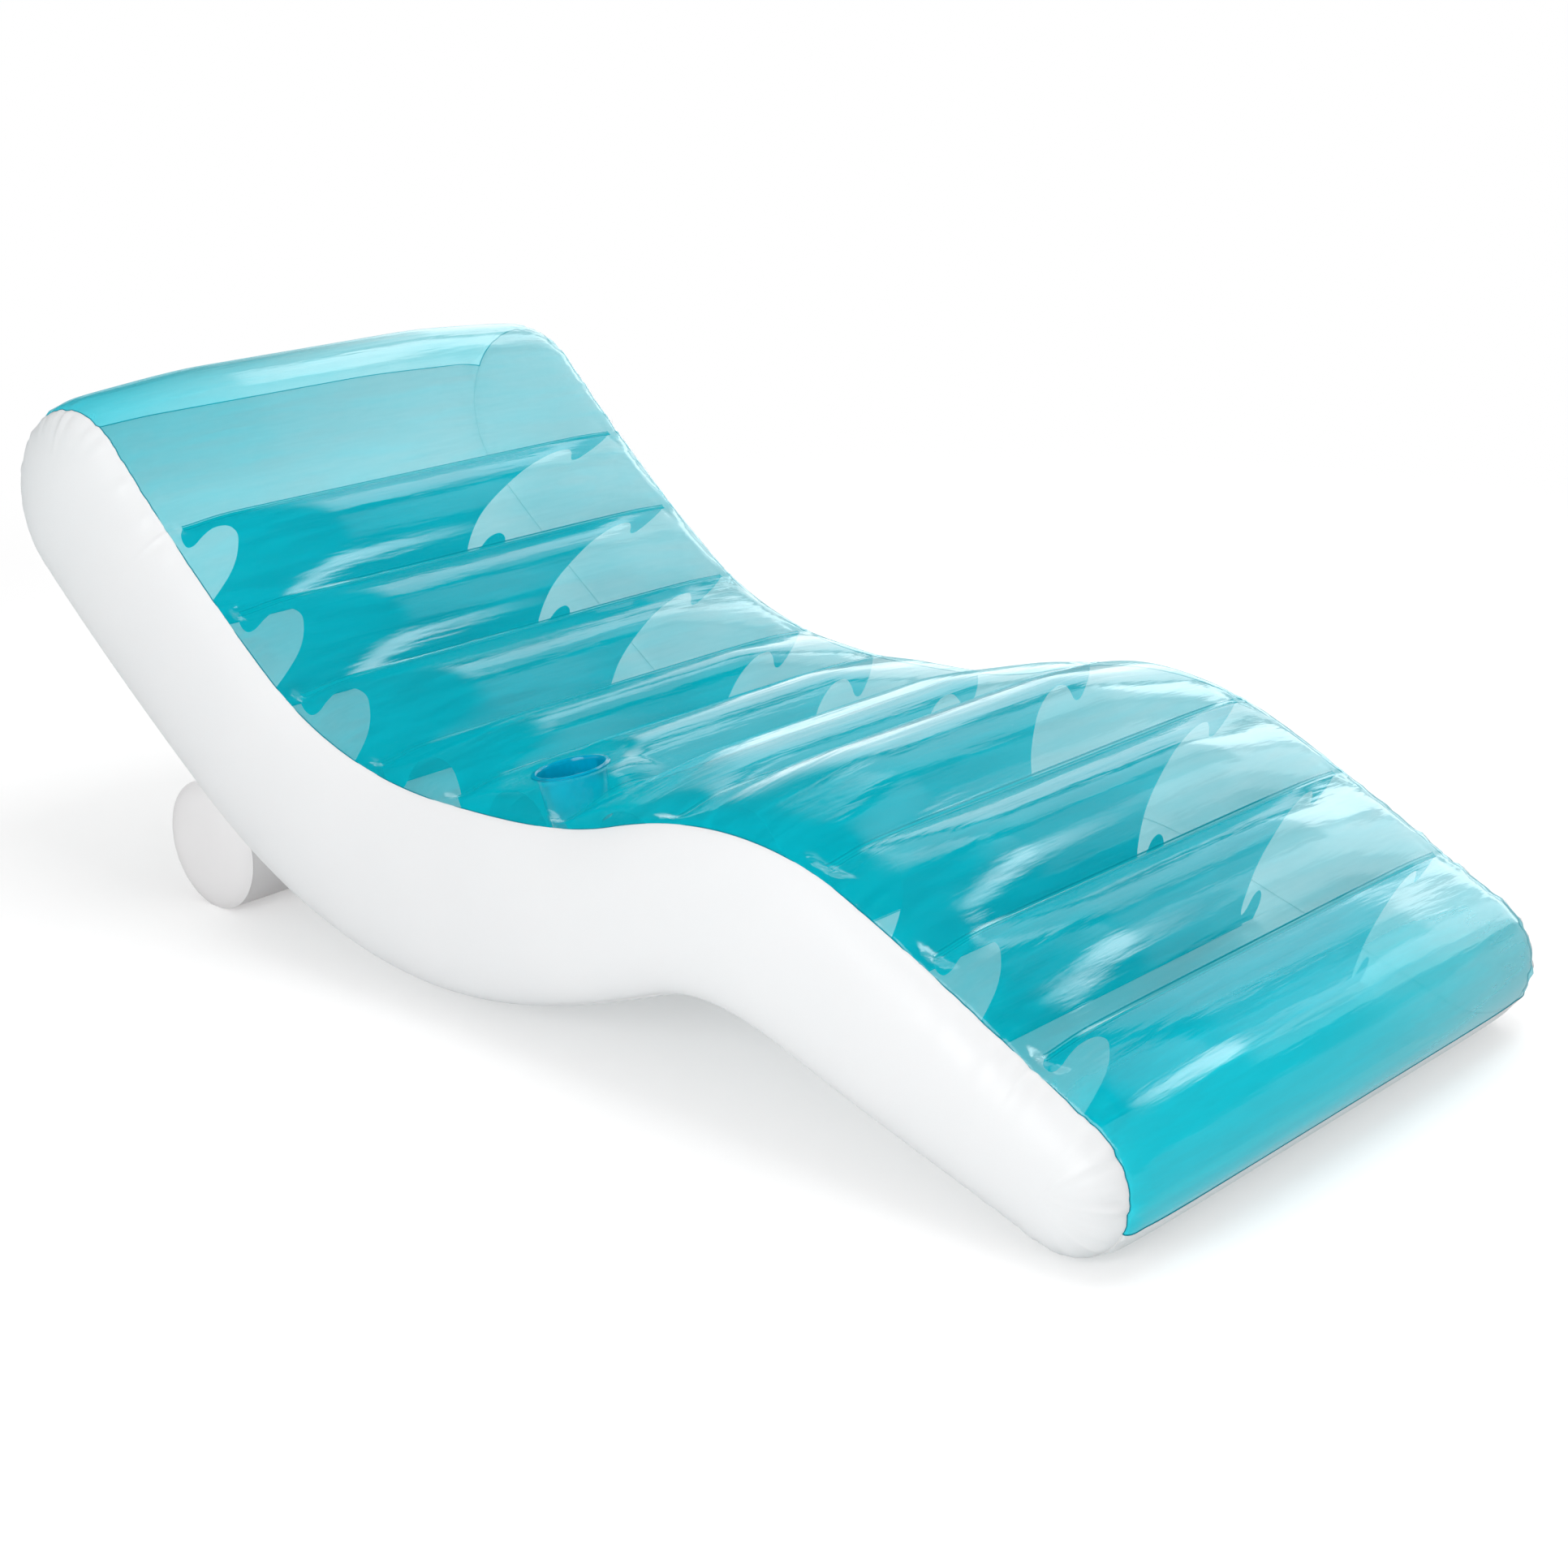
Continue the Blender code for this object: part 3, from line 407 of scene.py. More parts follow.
def whiteFilm(name, colour, rough):
    # satin white vinyl: a faint orange peel, slow waves and an uneven tone
    paint = Paint(name)
    peel = paint.noise(900.0, detail=2.0)
    waves = paint.noise(6.0, detail=3.0, offset=(2.0, 5.0, 1.0))
    tone = paint.ranged(paint.noise(2.6, detail=4.0), 0.0, 1.0, 0.35, 0.65)
    shader = paint.add("ShaderNodeBsdfPrincipled", None, {
        "Base Color": paint.blend(tone, darker(colour, 0.985), colour),
        "Roughness": paint.ranged(waves, rough * 0.85, rough * 1.15, 0.3, 0.7),
        "Specular IOR Level": 0.4,
        "Normal": paint.bump(peel * 0.02 + waves, 0.0012)})
    return paint.surface(paint.mixed(whiteLook["through"], shader, paint.through(whiteLook["throughTone"])))


def tintedFilm(name):
    # a deeper coloured film that is still seen through
    tint, milk, haze = tintedLook[name]
    paint = Paint(name)
    cloud = paint.noise(30.0, detail=3.0)
    bent = paint.bump(cloud, 0.0004)
    solid = paint.add("ShaderNodeBsdfPrincipled", None, {
        "Base Color": paint.blend(cloud, milk, darker(milk, 0.9)), "Roughness": 0.2,
        "Specular IOR Level": 0.0, "Normal": bent})
    solid = paint.mixed(0.5, solid, paint.through(milk))
    share = paint.ranged(cloud, haze * 0.85, min(haze * 1.15, 1.0), 0.3, 0.7)
    body = paint.mixed(share, paint.clear(tint), solid)
    return paint.glossed(tintedGloss["index"], 1.0, body, tintedGloss["rough"], bent)


def valveVinyl(name):
    # moulded clear vinyl, a little cloudy
    paint = Paint(name)
    cloud = paint.noise(120.0, detail=3.0)
    shader = paint.add("ShaderNodeBsdfPrincipled", None, {
        "Base Color": paint.blend(cloud, vinylLook["clear"], vinylLook["cloudy"]),
        "Roughness": paint.ranged(cloud, *vinylLook["rough"]), "Coat Weight": 0.3,
        "Normal": paint.bump(paint.noise(700.0, detail=2.0), 0.0002)})
    return paint.surface(shader)


clearTurquoise = clearFilm()
baffleTeal = baffleFilm()
panelWhite = whiteFilm("panelWhiteFilm", whiteLook["panel"], whiteLook["panelRough"])
bolsterWhite = whiteFilm("bolsterWhiteFilm", whiteLook["bolster"], whiteLook["bolsterRough"])
seamTeal = tintedFilm("seamTurquoise")
cupBlue = tintedFilm("cupBlueFilm")
vinyl = valveVinyl("valveVinyl")
print("finishes ready")

# ---- the chair's side line, as in the part's source

chair = {
    "runs": (0.434, 0.463, 0.339, 0.296, 0.384),  # arcs of the spine from the head's roll to the foot's
    "turns": (7.3, 39.1, 17.2, -41.8, -0.8),  # how far each turns, in degrees
    "headSlope": -43.1,
    "thicknesses": (0.274, 0.250, 0.258, 0.209, 0.227, 0.170),  # at the ends of the arcs
    "stand": (-0.8475, 0.0, 0.5675),
    "seamHalf": 0.430,
    "weldPlaces": (0.084, 0.168, 0.256, 0.368, 0.465, 0.582, 0.684, 0.782, 0.865, 0.953),
    "topCrowns": (0.55, 0.85, 0.85, 0.95, 1.0, 1.0, 1.0, 1.0, 1.0, 0.9, 0.65),  # shares of topCrown
    "lowCrowns": (0.8, 0.8, 0.7, 0.9, 1.0, 0.9, 0.8, 0.8, 0.7, 0.4, 0.0),
    "topCrown": 0.032,  # how far a chamber swells between two creases
    "lowCrown": 0.022,
    "topRise": 0.012,  # how far the whole film rises between the side seams
    "lowRise": 0.006,
    "headSeam": 105.0,  # where the clear film ends on each roll, in degrees from its top
    "footSeam": 93.0,
    "topWeldHalf": 0.4055,
    "lowWeldHalf": 0.330,
    "weldRidge": 0.0004,
    "weldFlat": 0.0010,
    "weldWidth": 0.0026,
}
# how a chamber swells across the chair, in shares of the half width
lobe = {
    "flattens": (0.42, 0.92),
    "flattensBy": 0.55,
    "seamFall": 8,  # power with which it falls off to the seam
    "riseFall": 10,
    "beyondWeld": 0.55,  # share of the swell that goes on past a crease's end
    "beyondFrom": 0.02,  # how far before that end it sets in
    "ridgeEnds": 0.012,  # and the weld's ridge fades out
}
length = sum(chair["runs"])
welds = [share * length for share in chair["weldPlaces"]]
headRoll = chair["thicknesses"][0] / 2
footRoll = chair["thicknesses"][-1] / 2
stand = Vector(chair["stand"])


def smooth(value, first=0.0, last=1.0):
    share = min(max((value - first) / (last - first), 0.0), 1.0)
    return share * share * (3 - 2 * share)


def spineAt(place):
    x = z = 0.0
    heading = math.radians(chair["headSlope"])
    left = place
    for run, turn in zip(chair["runs"], chair["turns"]):
        step = min(left, run)
        rate = math.radians(turn) / run
        x += (math.sin(heading + rate * step) - math.sin(heading)) / rate
        z -= (math.cos(heading + rate * step) - math.cos(heading)) / rate
        heading += rate * step
        left -= step
        if left <= 0:
            break
    return x, z, heading


def thicknessAt(place):
    thick = chair["thicknesses"]
    knots = [sum(chair["runs"][:i]) for i in range(len(thick))]
    last = len(knots) - 1
    slopes = []
    for i in range(len(knots)):
        a, b = max(i - 1, 0), min(i + 1, last)
        slopes.append((thick[b] - thick[a]) / (knots[b] - knots[a]))
    i = max(k for k in range(last) if place >= knots[k] or k == 0)
    span = knots[i + 1] - knots[i]
    u = min(max((place - knots[i]) / span, 0.0), 1.0)
    return ((2 * u**3 - 3 * u**2 + 1) * thick[i] + (u**3 - 2 * u**2 + u) * span * slopes[i]
            + (3 * u**2 - 2 * u**3) * thick[i + 1] + (u**3 - u**2) * span * slopes[i + 1])


def headCrown(way):
    # swell of the headrest, and the most it reaches, between the first crease on top and the one underneath
    whole = 2 * welds[0] + math.pi * headRoll
    below = min(max(way / whole, 0.0), 1.0)
    high = (chair["topCrown"] * chair["topCrowns"][0] * (1 - below)
            + chair["lowCrown"] * chair["lowCrowns"][0] * below)
    return high * (1.0 - abs(2 * way / whole - 1.0) ** 3), high


def footCrown(way):
    # the same for the foot end, from the last crease to the seam
    whole = length - welds[-1] + math.radians(chair["footSeam"]) * footRoll
    share = 2 * way / whole - 1.0
    high = chair["topCrown"] * chair["topCrowns"][-1]
    return high * max(1.0 - share * share, 0.0), high


# the gathers along the side seams round the head and the foot end
puckers = {
    "full": 0.14,  # distance from the end of the chair over which they keep their height
    "head": (0.0026, 0.16),  # their height, and over what distance they die away beyond
    "foot": (0.0030, 0.13),
    "waves": ((0.033, 0.0, 1.0), (0.0207, 1.1, 0.6), (0.057, 2.3, 0.4)),  # period, phase and share of each
    "whole": 1.6,  # by which the sum of the waves is divided
    "reach": 0.016,  # how far from the seam they run
    "ease": 0.006,  # over what distance they grow from the seam
}
# where the seam itself is drawn in
pinches = {
    "full": 0.12,
    "depth": 0.0024,
    "headFade": 0.10,
    "footFade": 0.11,
    "waves": ((0.0236, 0.4, 5, 0.45), (0.0671, 1.9, 16, 1.0)),  # period, phase, sharpness and share of each
    "reach": 0.010,
}
# how the film sinks and folds round the end of a crease
creaseEnd = {
    "dip": 0.008,
    "farDipShare": 0.25,
    "dipAlong": 0.030,
    "dipInward": 0.045,
    "dipOutward": 0.018,
    "foldFrom": (-0.05, 0.01),  # from how far inside the end to how far past it the folds grow
    "foldHeight": 0.0006,
    "foldAt": 0.016,  # distance from the end at which the folds are highest
    "foldLimit": 0.09,
    "fan": ((5.0, 0.0, 0.6), (8.0, 0.7, 0.4)),  # folds round the end: number, phase and share
    "farthest": 0.11,  # along the chair, where the dip has died away
}


def puckerWave(headWay, footWay):
    wave = 0.0
    for way, (height, fade) in ((headWay, puckers["head"]), (footWay, puckers["foot"])):
        near = math.exp(-max(abs(way) - puckers["full"], 0.0) / fade)
        waves = sum(share * math.sin(way * math.tau / period + phase) for period, phase, share in puckers["waves"])
        wave += height * near * waves / puckers["whole"]
    return wave


def seamPinch(headWay, footWay):
    depth = 0.0
    for way, fade in ((headWay, pinches["headFade"]), (footWay, pinches["footFade"])):
        near = math.exp(-max(abs(way) - pinches["full"], 0.0) / fade)
        for period, phase, sharp, share in pinches["waves"]:
            gathers = (0.5 + 0.5 * math.cos(way * math.tau / period + phase)) ** sharp
            depth += pinches["depth"] * near * share * gathers
    return depth


class Row:
    # one row across a film: its seam point, the way out of the chair and how it swells
    def __init__(self, x, z, nx, nz, foot, rise, crown, high, headWay, footWay, side, place=None):
        self.x, self.z, self.nx, self.nz, self.foot = x, z, nx, nz, foot
        self.rise, self.crown, self.high, self.side = rise, crown, high, side
        self.wave, self.pinch = puckerWave(headWay, footWay), seamPinch(headWay, footWay)
        self.weldHalf = (chair["topWeldHalf"] if side > 0 else chair["lowWeldHalf"]) / chair["seamHalf"]
        self.weldInset = (1.0 - self.weldHalf) * chair["seamHalf"]
        # how far it is from the next crease, along the spine
        self.off = 1.0 if place is None else min((place - weld for weld in welds), key=abs)

    def point(self, share, lift=0.0):
        size = abs(share)
        edge = (1.0 - size) * chair["seamHalf"]
        beyond = smooth(size, self.weldHalf - lobe["beyondFrom"], 1.0)
        swell = self.crown * (1 - beyond) + self.high * lobe["beyondWeld"] * beyond
        swell *= 1.0 - lobe["flattensBy"] * smooth(size, *lobe["flattens"])
        height = self.rise * math.sqrt(max(1.0 - size ** lobe["riseFall"], 0.0))
        height += swell * math.sqrt(max(1.0 - size ** lobe["seamFall"], 0.0))
        ridge = chair["weldRidge"] * (1 - smooth(abs(self.off), chair["weldFlat"], chair["weldWidth"]))
        height += ridge * (1 - smooth(size, self.weldHalf - lobe["ridgeEnds"], self.weldHalf))
        if self.side > 0 and abs(self.off) < creaseEnd["farthest"]:
            inward = edge - self.weldInset
            depth = creaseEnd["dip"] * (1.0 if share < 0 else creaseEnd["farDipShare"])
            height += endFold(self.off, inward) - depth * endDip(self.off, inward)
        height += self.wave * math.exp(-edge / puckers["reach"]) * smooth(edge, 0.0, puckers["ease"])
        height += lift - self.pinch * math.exp(-edge / pinches["reach"])
        y = share * chair["seamHalf"]
        return onFloor(Vector((self.x + self.nx * height, y, self.z + self.nz * height)) + stand)


def onFloor(point):
    point.z = max(point.z, 0.0)
    return point


def endDip(off, inward):
    # the film sinks where a crease ends
    reach = creaseEnd["dipInward"] if inward > 0 else creaseEnd["dipOutward"]
    return math.exp(-((off / creaseEnd["dipAlong"]) ** 2) - (inward / reach) ** 2)


def endFold(off, inward):
    # radial folds that fan out from the end of a crease, off along the chair and inward from the end
    far = math.hypot(off, inward)
    if far > creaseEnd["foldLimit"]:
        return 0.0
    angle = math.atan2(off, -inward)
    fan = sum(share * math.cos(angle * number + phase) for number, phase, share in creaseEnd["fan"])
    away = far / creaseEnd["foldAt"]
    return creaseEnd["foldHeight"] * fan * away * math.exp(1 - away) * smooth(-inward, *creaseEnd["foldFrom"])


def faceRow(place, side):
    # a row of the top film, side 1, or of the white one, side -1, at a place along the spine
    x, z, heading = spineAt(place)
    nx, nz = -math.sin(heading) * side, math.cos(heading) * side
    half = thicknessAt(place) / 2
    rise = chair["topRise"] if side > 0 else chair["lowRise"]
    if place < welds[0]:
        crown, high = headCrown(welds[0] - place if side > 0 else welds[0] + math.pi * headRoll + place)
    elif place > welds[-1]:
        crown, high = footCrown(place - welds[-1]) if side > 0 else (0.0, 0.0)
    else:
        index = max(i for i in range(len(welds) - 1) if place >= welds[i])
        share = 2 * (place - welds[index]) / (welds[index + 1] - welds[index]) - 1
        high = (chair["topCrown"] * chair["topCrowns"][index + 1] if side > 0
                else chair["lowCrown"] * chair["lowCrowns"][index + 1])
        crown = high * (1 - share * share)
    headWay = -place if side > 0 else math.pi * headRoll + place
    footWay = place - length if side > 0 else math.pi * footRoll + length - place
    return Row(x + nx * half, z + nz * half, nx, nz, (x, z), rise, crown, high, headWay, footWay, side, place)


farAway = 9.0  # beyond any gather


def rollRow(end, degrees, side):
    # a row on the roll of the head, end -1, or of the foot, end 1, at degrees from its top
    place = 0.0 if end < 0 else length
    x, z, heading = spineAt(place)
    a = math.radians(degrees)
    nx = -math.sin(heading) * math.cos(a) + end * math.cos(heading) * math.sin(a)
    nz = math.cos(heading) * math.cos(a) + end * math.sin(heading) * math.sin(a)
    half = headRoll if end < 0 else footRoll
    lowest = 180.0 if end < 0 else 180.0 + math.degrees(heading)
    rise = chair["topRise"] + (chair["lowRise"] - chair["topRise"]) * min(degrees / lowest, 1.0)
    if end < 0:
        crown, high = headCrown(welds[0] + a * headRoll)
    else:
        crown, high = footCrown(length - welds[-1] + a * footRoll) if side > 0 else (0.0, 0.0)
    headWay = a * headRoll if end < 0 else farAway
    footWay = a * footRoll if end > 0 else farAway
    return Row(x + nx * half, z + nz * half, nx, nz, (x, z), rise, crown, high, headWay, footWay, side)


def spread(first, last, count):
    return [first + (last - first) * i / count for i in range(count + 1)]


# how finely the films are drawn
steps = {
    "byCrease": (0.0, 0.0013, 0.0026, 0.0045, 0.0075, 0.012, 0.018),
    "along": 0.0085,
    "bySeam": (0.0, 0.0012, 0.003, 0.0055, 0.009, 0.013, 0.0175, 0.0215, 0.0245, 0.0285, 0.034, 0.041, 0.049),
    "across": 76,
    "topRolls": (34, 22),  # round the head and round the foot
    "lowRolls": (24, 20),
}


def places():
    # along the spine, closer together by each crease
    near = steps["byCrease"]
    marks = [0.0, *welds, length]
    found = []
    for first, last in zip(marks, marks[1:]):
        low = near if first > 0 else (0.0,)
        high = near if last < length else (0.0,)
        found += [first + n for n in low[:-1]]
        count = max(round((last - first - low[-1] - high[-1]) / steps["along"]), 1)
        found += spread(first + low[-1], last - high[-1], count)[:-1]
        found += [last - n for n in reversed(high[1:])]
    return found + [length]


def filmRows(side, crest, rolls):
    # all rows of a film from the seam at the head to the one at the foot; crest is where its face begins
    return ([rollRow(-1, a, side) for a in spread(chair["headSeam"], crest, rolls[0])][:-1]
            + [faceRow(p, side) for p in places()]
            + [rollRow(1, a, side) for a in spread(crest, chair["footSeam"], rolls[1])][1:])


topRows = filmRows(1, 0.0, steps["topRolls"])
lowRows = filmRows(-1, 180.0, steps["lowRolls"])


def columns():
    # across the chair, closer together by the side seams and the ends of the creases
    near = steps["bySeam"]
    half = chair["seamHalf"]
    middle = spread(-half + near[-1], half - near[-1], steps["across"])
    ys = [-half + n for n in near[:-1]] + middle + [half - n for n in reversed(near[:-1])]
    return [y / half for y in ys]


allColumns = columns()


def finished(name, bm, material, smoothed=True):
    data = bpy.data.meshes.new(name)
    bm.to_mesh(data)
    bm.free()
    data.materials.append(material)
    if smoothed:
        data.shade_smooth()
    made = bpy.data.objects.new(name, data)
    scene.collection.objects.link(made)
    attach(made, "lounge")
    return made


def drawnGrid(bm, across, along, where):
    # a grid of across by along steps, each corner put where the function says
    made = bmesh.ops.create_grid(bm, x_segments=across, y_segments=along, size=0.5)["verts"]
    for vert in made:
        vert.co = where(round((vert.co.x + 0.5) * across), round((vert.co.y + 0.5) * along))
    return made


def faceOut(bm, middle, way):
    # turns all faces so that those near a point look the given way
    bmesh.ops.recalc_face_normals(bm, faces=bm.faces)
    nearest = min(bm.faces, key=lambda f: (f.calc_center_median() - middle).length)
    if nearest.normal.dot(way) < 0:
        bmesh.ops.reverse_faces(bm, faces=bm.faces)


# ---- clear film, with the hole for the cup holder

cup = {
    "middle": (0.0059, -0.2963, 0.3265),
    "out": (-0.1736, -0.0858, 0.9811),
    "bore": 0.045,
    "depth": 0.068,
    "taper": 0.004,
    "flat": 0.058,  # radius of the flat patch round the lip
    "blend": 0.122,  # radius at which the film has its own form again
    # rings of the film's grid round the middle: the first that stays, the last made round, the last flattened
    "rings": (5, 12, 18),
    "film": 0.0012,
    # the lip's section, outwards and upwards from the bore's edge
    "lipLine": ((0.0007, -0.004), (0.0012, -0.0006), (0.002, 0.0002), (0.0064, 0.0002), (0.007, 0.0008),
                (0.0062, 0.0015), (0.00385, 0.0012), (0.0028, 0.0024), (0.0012, 0.0026), (0.0, 0.0014),
                (-0.0002, -0.004)),
    "round": 96,
}
opening = {"clearance": 0.0005, "ringStep": 0.0085}
# where the main valve sits in the white film
mainValve = {
    "middle": (-0.756549, 0.296274, 0.296626),
    "out": (-0.629854, 0.0, -0.776714),
    "bore": 0.0114,
    "flat": 0.024,
    "blend": 0.052,
    "rings": (2, 5, 7),
}


def fittingFrame(fitting):
    # a frame in the film's plane at the middle of a fitting, its z out of the film
    out = Vector(fitting["out"]).normalized()
    along = Vector((0.0, 1.0, 0.0)).cross(out).normalized()
    made = Matrix((along, out.cross(along), out)).transposed().to_4x4()
    made.translation = fitting["middle"]
    return made


def openedFor(corners, fitting):
    # flattens a film's grid round a fitting, makes it round by the hole and returns the corners that go
    frameAt = fittingFrame(fitting)
    inner, outer, reach = fitting["rings"]
    spot = Vector(fitting["middle"])
    mr, mc = min(((r, c) for r in range(len(corners)) for c in range(len(corners[0]))),
                 key=lambda rc: (corners[rc[0]][rc[1]] - spot).length)
    gone = []
    for r in range(mr - reach, mr + reach + 1):
        for c in range(mc - outer, mc + outer + 1):
            local = frameAt.inverted() @ corners[r][c]
            level = max(abs(r - mr), abs(c - mc))
            angle = math.atan2(local.y, local.x)
            radius = math.hypot(local.x, local.y)
            if level < inner:
                gone.append((r, c))
            elif level < outer:
                ringed = fitting["bore"] + opening["clearance"] + (level - inner) * opening["ringStep"]
                share = smooth(level, inner, outer)
                radius = ringed * (1 - share) + radius * share
            lift = smooth(radius, fitting["flat"], fitting["blend"])
            moved = Vector((math.cos(angle) * radius, math.sin(angle) * radius, local.z * lift))
            corners[r][c] = frameAt @ moved
    return gone


def drawnFilm(bm, rows, fitting):
    # a film's grid with the hole for its fitting; gives its corners row by row
    corners = [[row.point(share) for share in allColumns] for row in rows]
    gone = openedFor(corners, fitting)
    wide = len(allColumns)
    made = drawnGrid(bm, wide - 1, len(rows) - 1, lambda c, r: corners[r][c])
    bmesh.ops.delete(bm, geom=[made[r * wide + c] for r, c in gone], context="VERTS")
    return [made[r * wide:(r + 1) * wide] for r in range(len(rows))]


def makeClearFilm():
    # creaseOff keeps how far each corner is from the next crease, for the crease's own colours
    bm = bmesh.new()
    creaseOff = bm.verts.layers.float.new("creaseOff")
    corners = drawnFilm(bm, topRows, cup)
    for row, line in zip(topRows, corners):
        for share, corner in zip(allColumns, line):
            if corner.is_valid:
                corner[creaseOff] = abs(row.off) if abs(share) < row.weldHalf else 1.0
    faceOut(bm, topRows[len(topRows) // 2].point(0.3), Vector((0, 0, 1)))
    made = finished("topFilm", bm, clearTurquoise)
    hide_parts(*[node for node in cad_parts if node.startswith("top_sheet")])
    print("clear film drawn:", len(made.data.polygons), "faces")


makeClearFilm()

# ---- white film underneath and the side panels


def makeUndersideFilm():
    bm = bmesh.new()
    drawnFilm(bm, lowRows, mainValve)
    faceOut(bm, lowRows[len(lowRows) // 2].point(0.0), Vector((0, 0, -1)))
    made = finished("undersideFilm", bm, panelWhite)
    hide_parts(*[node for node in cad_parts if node.startswith("bottom_sheet")])


panel = {
    "bulge": 0.048,
    "fullness": 0.6,  # power of the bulge: the lower, the flatter its middle
    "rings": 16,
    "foldShare": 0.9,  # of the gathers' height, in the plane of the panel
    "foldReach": 0.02,
    "foldEase": 0.005,
    "pinchReach": 0.012,
    "outFold": 0.8,  # the same for the height outwards
    "outPinch": 1.6,
    "outReach": 0.022,
    "outEase": 0.006,
}


def makeSidePanel(name, side, node):
    # rings run in from the seams all round to the spine
    bm = bmesh.new()
    loop = topRows[:-1] + lowRows[::-1]
    rings = panel["rings"]

    def where(c, r):
        row = loop[c % len(loop)]
        share = math.sin(math.pi / 2 * r / rings)
        half = math.hypot(row.x - row.foot[0], row.z - row.foot[1])
        edge = (1.0 - share) * half
        fold = row.wave * panel["foldShare"] * smooth(edge, 0.0, panel["foldEase"])
        fold = fold * math.exp(-edge / panel["foldReach"]) - row.pinch * math.exp(-edge / panel["pinchReach"])
        x = row.foot[0] + (row.x - row.foot[0]) * share + row.nx * fold
        z = row.foot[1] + (row.z - row.foot[1]) * share + row.nz * fold
        out = panel["bulge"] * max(1.0 - share * share, 0.0) ** panel["fullness"]
        outFold = row.wave * panel["outFold"] - row.pinch * panel["outPinch"]
        out += outFold * math.exp(-edge / panel["outReach"]) * smooth(edge, 0.0, panel["outEase"])
        return onFloor(Vector((x, side * (chair["seamHalf"] + out), z)) + stand)

    drawnGrid(bm, len(loop) - 1, rings, where)
    bmesh.ops.remove_doubles(bm, verts=bm.verts, dist=0.00005)
    x, z, _ = spineAt(length / 2)
    faceOut(bm, Vector((x, side * (chair["seamHalf"] + panel["bulge"]), z)) + stand, Vector((0, side, 0)))
    made = finished(name, bm, panelWhite)
    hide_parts(node)


makeUndersideFilm()
makeSidePanel("rightPanel", -1, "right_side_panel")
makeSidePanel("leftPanel", 1, "left_side_panel")
print("white film drawn")

# ---- seams

seams = {"radius": 0.0008, "sides": 2}


def makeBead(name, points, radius, material, closed=False):
    # a thin round rim along a seam
    curve = bpy.data.curves.new(name, "CURVE")
    curve.dimensions, curve.bevel_depth, curve.bevel_resolution = "3D", radius, seams["sides"]
    curve.use_fill_caps = True
    spline = curve.splines.new("POLY")
    spline.points.add(len(points) - 1)
    for spot, point in zip(spline.points, points):
        spot.co = (*point, 1.0)
    spline.use_cyclic_u = closed
    drawn = bpy.data.objects.new(name + "Line", curve)
    scene.collection.objects.link(drawn)
    bpy.context.view_layer.update()
    data = bpy.data.meshes.new_from_object(drawn.evaluated_get(bpy.context.evaluated_depsgraph_get()))
    bpy.data.objects.remove(drawn)
    data.name = name
    data.materials.clear()
    data.materials.append(material)
    data.shade_smooth()
    made = bpy.data.objects.new(name, data)
    scene.collection.objects.link(made)
    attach(made, "lounge")
    return made


for side, label in ((-1, "right"), (1, "left")):
    edge = [row.point(float(side)) for row in topRows]
    makeBead(label + "ClearSeam", edge, seams["radius"], seamTeal)
    edge = [row.point(float(side)) for row in lowRows]
    makeBead(label + "WhiteSeam", edge, seams["radius"], panelWhite)
for label, row in (("head", topRows[0]), ("foot", topRows[-1])):
    edge = [row.point(share) for share in allColumns]
    makeBead(label + "Seam", edge, seams["radius"], seamTeal)
print("seams drawn")

# ---- baffles

baffle = {
    "film": 0.0005,
    "flange": 0.0016,  # half the width of the strip welded to a film
    "flangeFilm": 0.0004,
    "gap": 0.0006,
    "edgeSteps": (40, 16),  # over half of the top edge, and of the lower one
    "flangeSteps": (48, 6),
    "nearReach": (0.84, 0.93, 0.96, 0.96, 0.98, 0.98, 1.0, 1.0, 0.98, 0.98),  # how deep each end is cut out
    "farReach": (1.18, 1.0, 0.96, 0.94, 0.94, 0.94, 0.94, 0.90, 0.66, 0.54),
    # the cut-out from the end of the top edge inwards: share of the half width, and share of the height down
    "notch": ((0.988, 0.060), (0.955, 0.135), (0.918, 0.190), (0.888, 0.185), (0.868, 0.125), (0.838, 0.082),
              (0.785, 0.080), (0.730, 0.115), (0.675, 0.190), (0.638, 0.290), (0.608, 0.410), (0.596, 0.530),
              (0.603, 0.650), (0.618, 0.760), (0.640, 0.860), (0.672, 0.915), (0.698, 0.880), (0.712, 0.790),
              (0.748, 0.765), (0.790, 0.815), (0.815, 0.900)),
}


def rounded(points, parts=5):
    # a smooth line through the points
    line = []
    for i in range(len(points) - 1):
        a, b = points[max(i - 1, 0)], points[i]
        c, d = points[i + 1], points[min(i + 2, len(points) - 1)]
        for k in range(parts):
            t = k / parts
            line.append(tuple(0.5 * (2 * q + (s - p) * t + (2 * p - 5 * q + 4 * s - e) * t * t
                                     + (3 * q - p - 3 * s + e) * t**3) for p, q, s, e in zip(a, b, c, d)))
    return line + [points[-1]]


